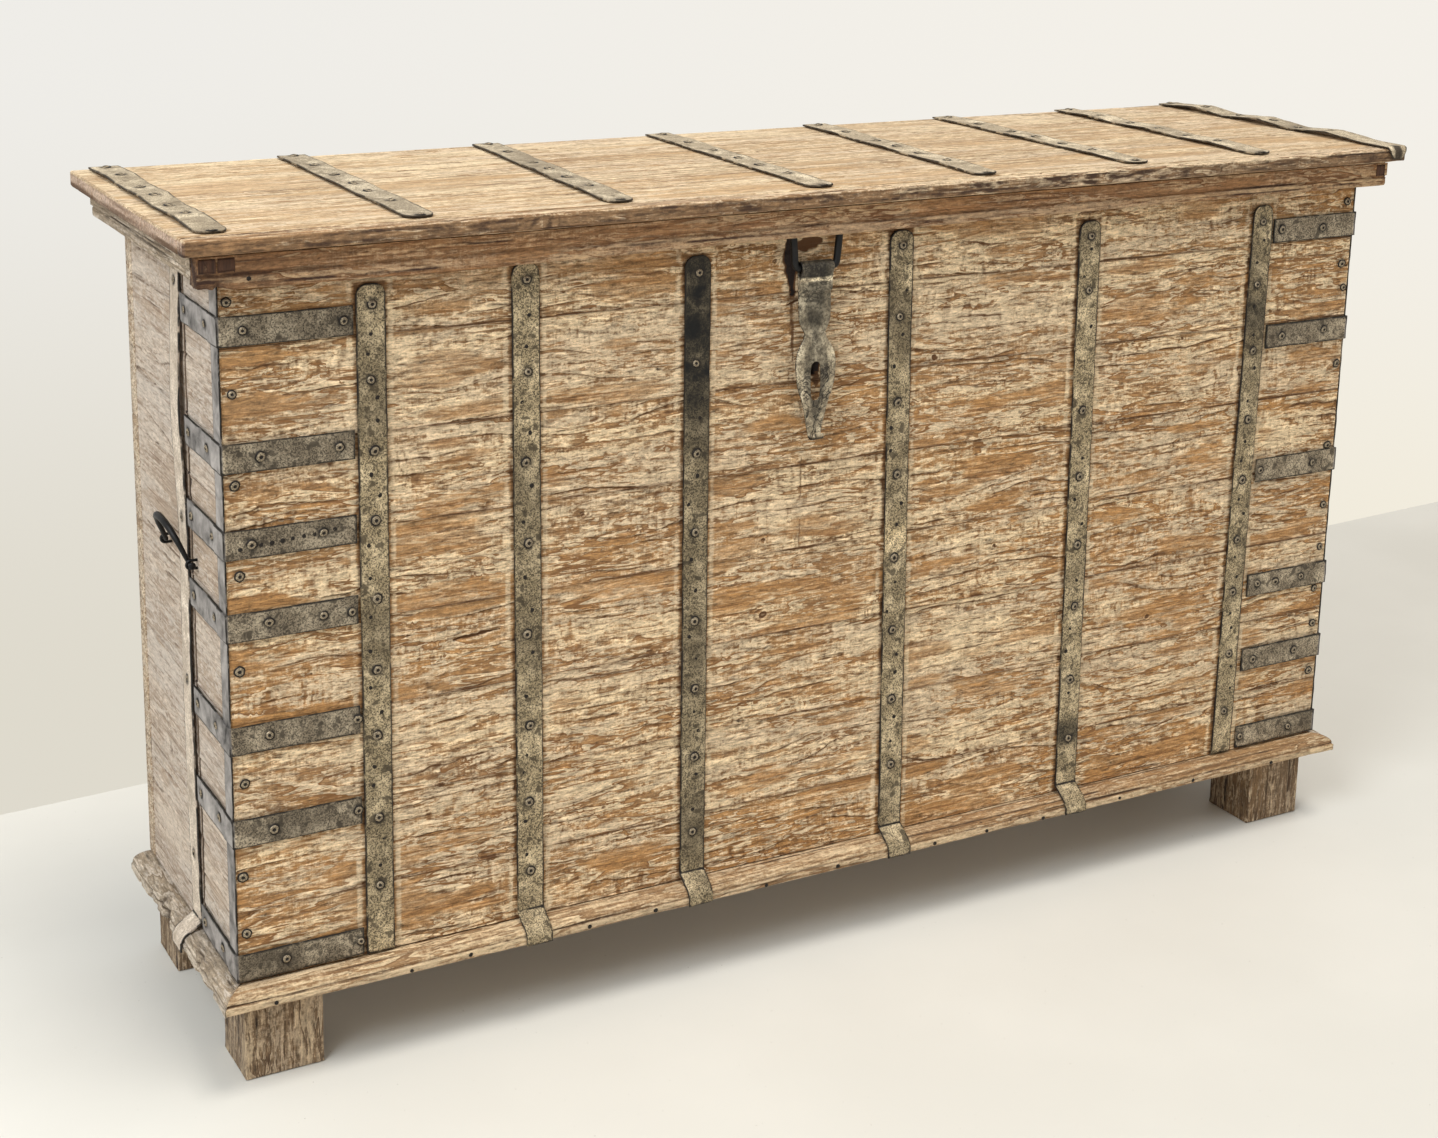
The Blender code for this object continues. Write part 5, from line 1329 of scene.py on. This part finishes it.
def rod(name, route, normal, node, sides=18, dents=ROD_DENTS):
    """Forged round bar along a route of (x, y, z, radius) rows, with closed ends."""
    turns = 2 * math.pi * np.arange(sides) / sides
    rings = []
    for index, row in enumerate(route):
        before, after = route[max(index - 1, 0)], route[min(index + 1, len(route) - 1)]
        way = (after - before)[:3]
        inward = np.cross(way / np.linalg.norm(way), normal)
        inward /= np.linalg.norm(inward)
        rings.append(row[:3] + (np.outer(np.cos(turns), normal) + np.outer(np.sin(turns), inward)) * row[3])
    made = tube(name, rings, BLACK_IRON)
    points, out = read_points(made.data)
    dent = dents * layered(*(points.T / ROD_DENT_SIZE), 5, 2)
    write_points(made.data, points + out * dent[:, None], {})
    return dress(made, node)


def staple():
    """U of round bar with its round bottom at the hasp's axis and its legs up in the cornice."""
    rows = [(-0.030, 0.052), (-0.030, 0.044), (-0.030, 0.038), (-0.0292, 0.026), (-0.0280, 0.013)]
    rows += [(-0.0273, 0.0060), (-0.0257, 0.0022), (-0.0218, 0.0002), (-0.012, 0.0), (0.0, 0.0)]
    x, y, z = HASP_AXIS
    route = smooth_route([(x + across, y, z + rise, STAPLE_RADIUS) for across, rise in mirrored(rows)], 5)
    rod("hasp_staple_bar", route, ALONG_Y, "hasp_staple")


def bail_rows():
    """Half of a bail as (along, rise, radius): headed pin, bend at the eye, and a quarter of the bow."""
    half, eye, tip = BAIL_HALF, BAIL_HALF + BAIL_BEND, BAIL_HALF + BAIL_BEND + BAIL_PIN
    rows = [(tip + BAIL_KNOB, 0.0, 0.0030), (tip + BAIL_KNOB * 0.6, 0.0, 0.0040), (tip + 0.0006, 0.0, 0.0038)]
    rows += [(tip - 0.0008, 0.0, 0.0025), (eye + 0.003, 0.0, 0.0024), (eye, 0.0002, 0.0024)]
    rows += [(eye - 0.0030, 0.0013, 0.0024), (half + 0.0002, 0.0040, 0.0025)]
    for step in range(2, 9):
        turn = math.pi * step / 16
        along = half * max(math.cos(turn), 0.0) ** BAIL_POWER
        rows.append((along, BAIL_RISE * math.sin(turn) ** BAIL_POWER, 0.0024 + 0.0015 * math.sin(turn)))
    return rows


def bails():
    for name, side in SIDES:
        pivot = np.array((side * BAIL_PIVOT[0], *BAIL_PIVOT[1:]))
        lean = np.array((side * math.sin(BAIL_TILT), 0.0, math.cos(BAIL_TILT)))
        rows = mirrored(bail_rows())
        route = [(*(pivot + ALONG_Y * along + lean * rise), thick) for along, rise, thick in rows]
        rod(f"{name}_bail", smooth_route(route, 5), np.cross(lean, ALONG_Y), f"{name}_handle")
        for end_name, end in (("front", -1), ("back", 1)):
            y = pivot[1] + end * (BAIL_HALF + BAIL_BEND + BAIL_PIN / 2)
            turns = [math.pi * k / 8 for k in range(9)]
            loop = [(EYE_REACH + EYE_RADIUS * math.sin(turn), EYE_RADIUS * math.cos(turn)) for turn in turns]
            legs = [(EYE_DEPTH, EYE_RADIUS), (EYE_LEG, EYE_RADIUS)]
            rows = legs + loop + [(outward, -rise) for outward, rise in reversed(legs)]
            route = [(side * (END_X + outward), y, pivot[2] + rise, EYE_WIRE) for outward, rise in rows]
            node = f"{name}_handle_eye_{end_name}"
            rod(f"{node}_wire", smooth_route(route, 3), ALONG_Y, node, sides=12)


def hasp_rows():
    """The hasp from the end of its fold to its curled tip: (forward, drop, half width, half slot)."""
    rows = [(HASP_BACK, 0.029, HASP_TAIL, 0.0), (HASP_BACK, 0.0135, HASP_TAIL, 0.0)]
    for step in range(13):
        turn = math.radians(38) + math.radians(284) * step / 12
        rows.append((HASP_EYE * math.sin(turn), HASP_EYE * math.cos(turn), HASP_TAIL, 0.0))
    for along, wide, crank, slot in HASP_LEAF:
        rows.append((HASP_CRANK * crank - HASP_BACK, HASP_LONG * along, HASP_HALF * wide, HASP_SLOT * slot))
    (along, wide, crank, _), curl = HASP_LEAF[-1], HASP_CURL
    for step in range(1, 8):
        turn = math.radians(205) * step / 7
        half = HASP_HALF * (wide + (HASP_TIP_SHARE - wide) * step / 7)
        forward = HASP_CRANK * crank - HASP_BACK + curl - curl * math.cos(turn)
        rows.append((forward, HASP_LONG * along + curl * math.sin(turn), half, 0.0))
    return rows


def hasp_place(forward, drop, across):
    """Place on the hasp, which hangs a little askew."""
    lean = HASP_LEAN * max(drop, 0.0) / HASP_LONG
    return HASP_AXIS[0] + across + lean, HASP_AXIS[1] - forward, HASP_AXIS[2] - drop


def hasp():
    """Hasp as a grid of rows across its strip, thickened, smoothed and hammered."""
    rows = hasp_rows()
    bm = bmesh.new()
    lines = []
    for forward, drop, half, slot in rows:
        inner = slot or half * HASP_INNER_SHARE
        across = (-half, -inner, inner, half)
        lines.append([bm.verts.new(hasp_place(forward, drop, place)) for place in across])
    for row, (upper, lower) in enumerate(zip(lines, lines[1:])):
        slotted = rows[row][3] and rows[row + 1][3]
        for over in (0, 2) if slotted else (0, 1, 2):
            bm.faces.new((upper[over], lower[over], lower[over + 1], upper[over + 1]))
    bmesh.ops.recalc_face_normals(bm, faces=bm.faces)
    mesh = bpy.data.meshes.new("hasp_form")
    bm.to_mesh(mesh)
    bm.free()
    form = link("hasp_form", mesh, HASP_IRON)
    solid = form.modifiers.new("thickness", "SOLIDIFY")
    solid.thickness, solid.offset, solid.use_even_offset = HASP_THICK, 0.0, True
    solid.edge_crease_outer = solid.edge_crease_rim = solid.edge_crease_inner = HASP_CREASE
    smooth = form.modifiers.new("smooth", "SUBSURF")
    smooth.levels = smooth.render_levels = 3
    done = bpy.data.meshes.new_from_object(form.evaluated_get(bpy.context.evaluated_depsgraph_get()))
    bpy.data.objects.remove(form)
    edges = []
    for here, there in zip(np.array(rows), np.array(rows[1:])):
        for step in range(4):
            forward, drop, half, _ = here + (there - here) * step / 4
            edges += [hasp_place(forward, drop, side * half) for side in (-1, 1)]
    piece = hammered("hasp_forged", done, HASP_IRON, rim_tree(edges), 0.00045, 0.0003, tones=HASP_TONES,
                     outline=0.0023, border=0.62)
    dress(piece, "hasp")


# Level straps of the front corners: height of each, and how far along its nails are
LEFT_CORNER = (
    (0.1384, (-0.699, -0.616)), (0.2912, (-0.709, -0.616)), (0.3946, (-0.711, -0.615)),
    (0.5174, (-0.708, -0.650, -0.619)), (0.6054, (-0.724, -0.648)), (0.6962, (-0.712, -0.629)),
    (0.8273, (-0.727, -0.622)),
)
RIGHT_CORNER = (
    (0.1384, (0.622, 0.707)), (0.2477, (0.634, 0.706)), (0.3520, (0.632, 0.663, 0.708)),
    (0.5099, (0.622, 0.712)), (0.6891, (0.641, 0.713)), (0.8273, (0.628, 0.697)),
)
# Nails at the ends of the front boards (along, height), their size, and how far they stand out
BOARD_NAILS = (
    (-0.742, 0.857), (-0.739, 0.763), (-0.739, 0.668), (-0.737, 0.572), (-0.740, 0.470), (-0.738, 0.346),
    (-0.743, 0.242), (-0.741, 0.177), (0.738, 0.857), (0.737, 0.775), (0.743, 0.743), (0.742, 0.641),
    (0.738, 0.530), (0.740, 0.447), (0.740, 0.388), (0.736, 0.330), (0.738, 0.280), (0.738, 0.212),
)
BOARD_NAIL_SIZE = (0.0042, 0.0013)
BOARD_NAIL_LIFT = 0.0006
# Row of small stubs in one strap of the left corner: from, to, count
STUB_ROW = ((-0.736, 0.6010), (-0.636, 0.6085), 10)
# Stubs in the sill's lower edge and one in the cornice's bead
SILL_STUBS = (
    -0.718, -0.566, -0.497, -0.352, -0.268, -0.121, -0.022, 0.118, 0.196, 0.283, 0.405, 0.527, 0.662,
)
SILL_STUB_PLACE = (0.0234, 0.1022)
CORNICE_STUB = (-0.726, FRONT_Y - 0.0255, 0.8845)
# Nails on the ends of the trunk, and the upright strap there
CORNER_NAIL_Y = (-0.140, -0.071)
SIDE_STRAP_Y = -0.0365
SIDE_STRAP_NAILS = (0.852, 0.594, 0.410, 0.205)
# Lid straps: length of each end that tells where the strap runs, how light each is, where its nails are
LID_STRAP_END = 0.03
LID_STRAP_TONES = (0.95, 0.87, 0.93, 1.05, 1.12, 1.12, 1.08, 0.95)
LID_NAILS = (-0.192, -0.110, -0.046, 0.006, 0.066, 0.142, 0.212)


def sheet(node, spots, material, body="case", **looks):
    """A nailed strap or binding: the refined iron of its node, and its nails as (place, way out)."""
    looks = {"step": 0.004, "dents": 0.0004, "nails": [place for place, _ in spots], **looks}
    dress(refine(node, f"iron_{node}", material, **looks), node)
    nail_heads(f"nails_{node}", spots, body)


def corners():
    for (name, side), table in zip(SIDES, (LEFT_CORNER, RIGHT_CORNER)):
        spots = []
        face = side * (END_X + STRAP_TOP)
        for z, places in table:
            for x in places:
                spots.append(((x, STRAP_FACE_Y, z + jitter(NAIL_JITTER, x * 3000)), (0, -1, 0)))
            near, far = CORNER_NAIL_Y
            spots.append(((face, near + jitter(WIDE_NAIL_JITTER, z * 900), z), (side, 0, 0)))
            spots.append(((face, far, z), (side, 0, 0)))
        looks = {"step": 0.005, "dents": 0.0003, "tones": CORNER_TONES, "tone_axis": 0}
        sheet(f"corner_binding_{name}", spots, CORNER_IRON, **looks)
        spots = [((face, SIDE_STRAP_Y, z), (side, 0, 0)) for z in SIDE_STRAP_NAILS]
        sheet(f"side_strap_{name}", spots, SIDE_IRON)
    (left, low), (right, high), count = STUB_ROW
    row = zip(np.linspace(left, right, count), np.linspace(low, high, count))
    stubs("stubs_corner_row", [(x, STRAP_FACE_Y, z) for x, z in row])
    out, height = SILL_STUB_PLACE
    row = [(x, FRONT_Y - out, height + jitter(NAIL_JITTER, x * 1000)) for x in SILL_STUBS]
    stubs("stubs_mouldings", row + [CORNICE_STUB])
    places = [(x, FRONT_Y - BOARD_NAIL_LIFT, z) for x, z in BOARD_NAILS]
    front_nails("nails_front_boards", places, *BOARD_NAIL_SIZE)


def over_edge(points):
    """Draws out a lid strap's front end and bends it down over the front edge of the lid."""
    start, flat, drop, radius = -0.172, 0.0525, 0.017, 0.0035
    x, y, z = points.T
    along = np.maximum(start - y, 0.0) * (flat + drop) / LAST_STRAP_END
    above = z - LID_TOP
    turn = np.clip((along - flat) / radius, 0.0, math.pi / 2)
    down = np.maximum(along - flat - radius * math.pi / 2, 0.0)
    front = start - np.minimum(along, flat) - (radius + above) * np.sin(turn)
    moved = np.stack([x, front, LID_TOP - radius + (radius + above) * np.cos(turn) - down], axis=1)
    return np.where((y < start)[:, None], moved, points)


def lid_straps():
    for number, tone in enumerate(LID_STRAP_TONES, start=1):
        node = f"lid_strap_{number}"
        low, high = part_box(node)
        co = np.array([vert.co for vert in frame["nodes"][node].data.vertices])
        front, back = co[:, 1] < low[1] + LID_STRAP_END, co[:, 1] > high[1] - LID_STRAP_END
        ends = [co[front][:, 0].mean(), co[back][:, 0].mean()]
        places = []
        for y in LID_NAILS:
            y = y + WIDE_NAIL_JITTER * scatter(int(y * 1000) + 50 * number, 1)[0]
            places.append((np.interp(y, [low[1], high[1]], ends), y, strap_height(co, y)))
        last = number == len(LID_STRAP_TONES)
        bent = {"step": 0.0022, "warp": over_edge} if last else {}
        spots = [(place, (0, 0, 1)) for place in places[last:]]
        sheet(node, spots, LID_IRON, "lid", nails=places, tones=((0.0, tone),), **bent)


def strap_height(points, y):
    """Height of a lid strap's upper face at a place from front to back."""
    rows = {}
    for point in points:
        key = round(float(point[1]), 4)
        rows[key] = max(rows.get(key, 0.0), float(point[2]))
    keys = sorted(rows)
    return float(np.interp(y, keys, [rows[key] for key in keys]))


def hinges():
    for name, _ in SIDES:
        for leaf in ("wall", "lid"):
            node = f"hinge_{leaf}_leaf_{name}"
            piece = refine(node, f"iron_{node}", STRAP_IRON, 0.005, 0.0002, bevel=0.0003, wobble=0.0001)
            dress(piece, node)
        node = f"hinge_pin_{name}"
        low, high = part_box(node)
        y, z = (low[1] + high[1]) / 2, (low[2] + high[2]) / 2
        rows = [(low[0] + along, radius) for along, radius in PIN_HEAD]
        rows += [(high[0] - along, radius) for along, radius in reversed(PIN_HEAD)]
        route = np.array([(x, y, z, radius) for x, radius in rows])
        rod(f"{node}_bar", route, ALONG_Y, node, dents=PIN_DENTS)


# Materials. Wood: way of its grain, deep, warm and cool tone, warm and cool limewash, lines, crispness.
# Iron: dark, middle and light tone, and the colour of its edges and of the dirt round its nails.
FRONT_WOOD = wood(
    "front_wood_finish", 0, (0.23, 0.106, 0.034), (0.42, 0.214, 0.072), (0.35, 0.200, 0.088),
    (0.71, 0.540, 0.332), (0.63, 0.480, 0.308), (0.115, 0.048, 0.014), 1.2,
)
# The ends' wood is greyer and cooler than the front's: partly its own colour, partly painted cool light
SIDE_WOOD = wood(
    "side_wood_finish", 1, (0.27, 0.185, 0.125), (0.43, 0.325, 0.235), (0.42, 0.335, 0.265),
    (0.60, 0.500, 0.400), (0.56, 0.480, 0.400), (0.12, 0.075, 0.045), 0.5,
)
LID_WOOD = wood(
    "lid_wood_finish", 0, (0.33, 0.19, 0.085), (0.52, 0.34, 0.175), (0.46, 0.33, 0.20),
    (0.71, 0.555, 0.355), (0.65, 0.505, 0.34), (0.13, 0.07, 0.028), 0.8,
)
BACK_WOOD = wood(
    "back_wood_finish", 0, (0.24, 0.15, 0.08), (0.40, 0.26, 0.14), (0.34, 0.25, 0.17),
    (0.62, 0.50, 0.36), (0.55, 0.45, 0.34), (0.06, 0.038, 0.022),
)
RAIL_WOOD = wood(
    "rail_wood_finish", 0, (0.18, 0.090, 0.034), (0.34, 0.192, 0.080), (0.29, 0.178, 0.090),
    (0.62, 0.465, 0.280), (0.55, 0.410, 0.255), (0.06, 0.028, 0.011), 0.8,
)
# Greyer and cooler for the ends: partly the wood's own colour, partly painted cool light
SIDE_RAIL_WOOD = wood(
    "side_rail_wood_finish", 1, (0.20, 0.145, 0.090), (0.35, 0.265, 0.175), (0.33, 0.265, 0.195),
    (0.56, 0.470, 0.365), (0.51, 0.430, 0.345), (0.07, 0.046, 0.028), 0.8,
)
FOOT_WOOD = wood(
    "foot_wood_finish", 2, (0.075, 0.038, 0.016), (0.20, 0.118, 0.054), (0.17, 0.110, 0.062),
    (0.45, 0.335, 0.212), (0.38, 0.285, 0.188), (0.022, 0.010, 0.004),
)
EDGE_WOOD = wood(
    "lid_edge_wood_finish", 0, (0.17, 0.082, 0.032), (0.33, 0.185, 0.083), (0.28, 0.17, 0.085),
    (0.69, 0.530, 0.340), (0.61, 0.460, 0.300), (0.050, 0.022, 0.009),
)
TENON_WOOD = wood(
    "tenon_wood_finish", 2, (0.045, 0.018, 0.009), (0.095, 0.038, 0.016), (0.075, 0.036, 0.019),
    (0.34, 0.225, 0.120), (0.28, 0.190, 0.105), (0.016, 0.007, 0.004), 0.8,
)
CORNICE_WOOD = wood(
    "cornice_wood_finish", 0, (0.15, 0.062, 0.020), (0.30, 0.145, 0.053), (0.26, 0.134, 0.060),
    (0.46, 0.305, 0.165), (0.41, 0.270, 0.155), (0.040, 0.014, 0.005),
)
STRAP_IRON = iron(
    "strap_iron_finish", (0.046, 0.032, 0.016), (0.500, 0.392, 0.228), (0.74, 0.60, 0.385),
    (0.012, 0.008, 0.005),
)
CORNER_IRON = iron(
    "corner_iron_finish", (0.042, 0.031, 0.019), (0.300, 0.240, 0.162), (0.50, 0.42, 0.30),
    (0.012, 0.009, 0.006), limed=(0.285, 0.262, 0.245),
)
LID_IRON = iron(
    "lid_iron_finish", (0.22, 0.165, 0.100), (0.60, 0.49, 0.335), (0.88, 0.76, 0.55), (0.04, 0.028, 0.016),
)
SIDE_IRON = iron(
    "side_iron_finish", (0.44, 0.35, 0.26), (0.72, 0.61, 0.49), (0.84, 0.74, 0.61), (0.020, 0.016, 0.012),
    420.0, 0.0, 0.75,
)
HASP_IRON = iron(
    "hasp_iron_finish", (0.170, 0.135, 0.090), (0.43, 0.36, 0.245), (0.74, 0.64, 0.46), (0.010, 0.007, 0.005),
    300.0, rough=0.5, crackle=0.9,
)
BLACK_IRON = iron(
    "black_iron_finish", (0.012, 0.010, 0.009), (0.030, 0.026, 0.022), (0.085, 0.072, 0.058),
    (0.01, 0.008, 0.007), rough=0.5,
)
NAIL_IRON = nail_iron()

front_boards()
side_walls()
back_wall()
floor_boards()
feet()
mouldings()
lid()
straps()
corners()
lid_straps()
staple()
hasp()
bails()
hinges()


def camera():
    """The photograph's camera, with its centre kept by a vertical shift."""
    level, pitch = CAMERA_AZIMUTH, CAMERA_ELEVATION
    forward = Vector((math.sin(level) * math.cos(pitch), math.cos(level) * math.cos(pitch), -math.sin(pitch)))
    right = Vector((math.cos(level), -math.sin(level), 0.0))
    down = forward.cross(right)
    rolled_right = right * math.cos(CAMERA_ROLL) - down * math.sin(CAMERA_ROLL)
    rolled_down = right * math.sin(CAMERA_ROLL) + down * math.cos(CAMERA_ROLL)
    turn = Matrix((rolled_right, -rolled_down, -forward)).transposed().to_4x4()
    data = bpy.data.cameras.new("camera")
    data.sensor_width = SENSOR
    data.lens = CAMERA_FOCAL / IMAGE_WIDTH * SENSOR
    data.shift_x = (IMAGE_WIDTH / 2 - CAMERA_CENTRE[0]) / IMAGE_WIDTH
    data.shift_y = (CAMERA_CENTRE[1] - IMAGE_HEIGHT / 2) / IMAGE_WIDTH
    data.clip_start = 0.05
    made = bpy.data.objects.new("camera", data)
    made.matrix_world = Matrix.Translation(CAMERA_PLACE) @ turn
    bpy.context.scene.collection.objects.link(made)
    bpy.context.scene.camera = made


def light(name, place, target, size, power, colour):
    data = bpy.data.lights.new(name, "AREA")
    data.shape = "DISK"
    data.size = size
    data.energy = power
    data.color = colour
    made = bpy.data.objects.new(name, data)
    made.location = place
    made.rotation_euler = (Vector(target) - Vector(place)).to_track_quat("-Z", "Y").to_euler()
    bpy.context.scene.collection.objects.link(made)


def backdrop():
    """Soft even light all round. The camera sees it as the pale wall, warmer at its foot, with painted shade
    darkening its foot and its left.
    """
    world = bpy.data.worlds.new("studio")
    bpy.context.scene.world = world
    world.use_nodes = True
    nodes, links = world.node_tree.nodes, world.node_tree.links
    sky, seen = nodes["Background"], nodes.new("ShaderNodeBackground")
    sky.inputs["Color"].default_value = (*SKY_COLOUR, 1.0)
    sky.inputs["Strength"].default_value = WORLD_STRENGTH
    way = nodes.new("ShaderNodeSeparateXYZ")
    links.new(nodes.new("ShaderNodeTexCoord").outputs["Generated"], way.inputs["Vector"])

    def rise(output, low, high):
        node = nodes.new("ShaderNodeMapRange")
        node.interpolation_type = "SMOOTHSTEP"
        links.new(way.outputs[output], node.inputs["Value"])
        node.inputs["From Min"].default_value, node.inputs["From Max"].default_value = low, high
        return node.outputs["Result"]

    def blended(share, first, second):
        node = nodes.new("ShaderNodeMix")
        node.data_type = "RGBA"
        links.new(share, node.inputs["Factor"])
        for value, socket in zip((first, second), [s for s in node.inputs if s.type == "RGBA"]):
            if isinstance(value, bpy.types.NodeSocket):
                links.new(value, socket)
            else:
                socket.default_value = (*value, 1.0)
        return [s for s in node.outputs if s.type == "RGBA"][0]

    # Painted shade: the wall seen by the camera is darker at its foot and to the left
    across, up = rise("X", *WALL_ACROSS), rise("Z", *WALL_UP)
    foot, top = blended(across, *WALL_FOOT), blended(across, *WALL_HEAD)
    links.new(blended(up, foot, top), seen.inputs["Color"])
    path = nodes.new("ShaderNodeLightPath")
    share = path.outputs["Is Camera Ray"]
    for ray in ("Is Glossy Ray", "Is Transmission Ray"):
        most = nodes.new("ShaderNodeMath")
        most.operation = "MAXIMUM"
        links.new(share, most.inputs[0])
        links.new(path.outputs[ray], most.inputs[1])
        share = most.outputs["Value"]
    blend = nodes.new("ShaderNodeMixShader")
    links.new(share, blend.inputs["Fac"])
    links.new(sky.outputs["Background"], blend.inputs[1])
    links.new(seen.outputs["Background"], blend.inputs[2])
    links.new(blend.outputs["Shader"], nodes["World Output"].inputs["Surface"])


def studio():
    make = Shader("floor_finish")
    cloud = make.noise(2.2, 4.0, 0.5)
    speck = make.noise(240.0, 2.0, 0.5)
    colour = make.mix(make.span(cloud, 0.35, 0.7), *FLOOR_COLOURS)
    colour = make.mix(make.span(speck, 0.74, 0.80), colour, FLOOR_SPECK)
    floor_finish = make.finish(colour, 0.6)
    far = [(x, FLOOR_EDGE[0] + FLOOR_EDGE[1] * x, 0.0) for x in (-FLOOR_REACH, FLOOR_REACH)]
    near = [(FLOOR_REACH, -FLOOR_REACH, 0.0), (-FLOOR_REACH, -FLOOR_REACH, 0.0)]
    mesh = bpy.data.meshes.new("studio_floor")
    mesh.from_pydata(far + near, [], [(3, 2, 1, 0)])
    link("studio_floor", mesh, floor_finish)
    backdrop()
    light("key", *KEY_LIGHT)
    light("fill", *FILL_LIGHT)
    bpy.context.scene.view_settings.view_transform = "Standard"


camera()
studio()
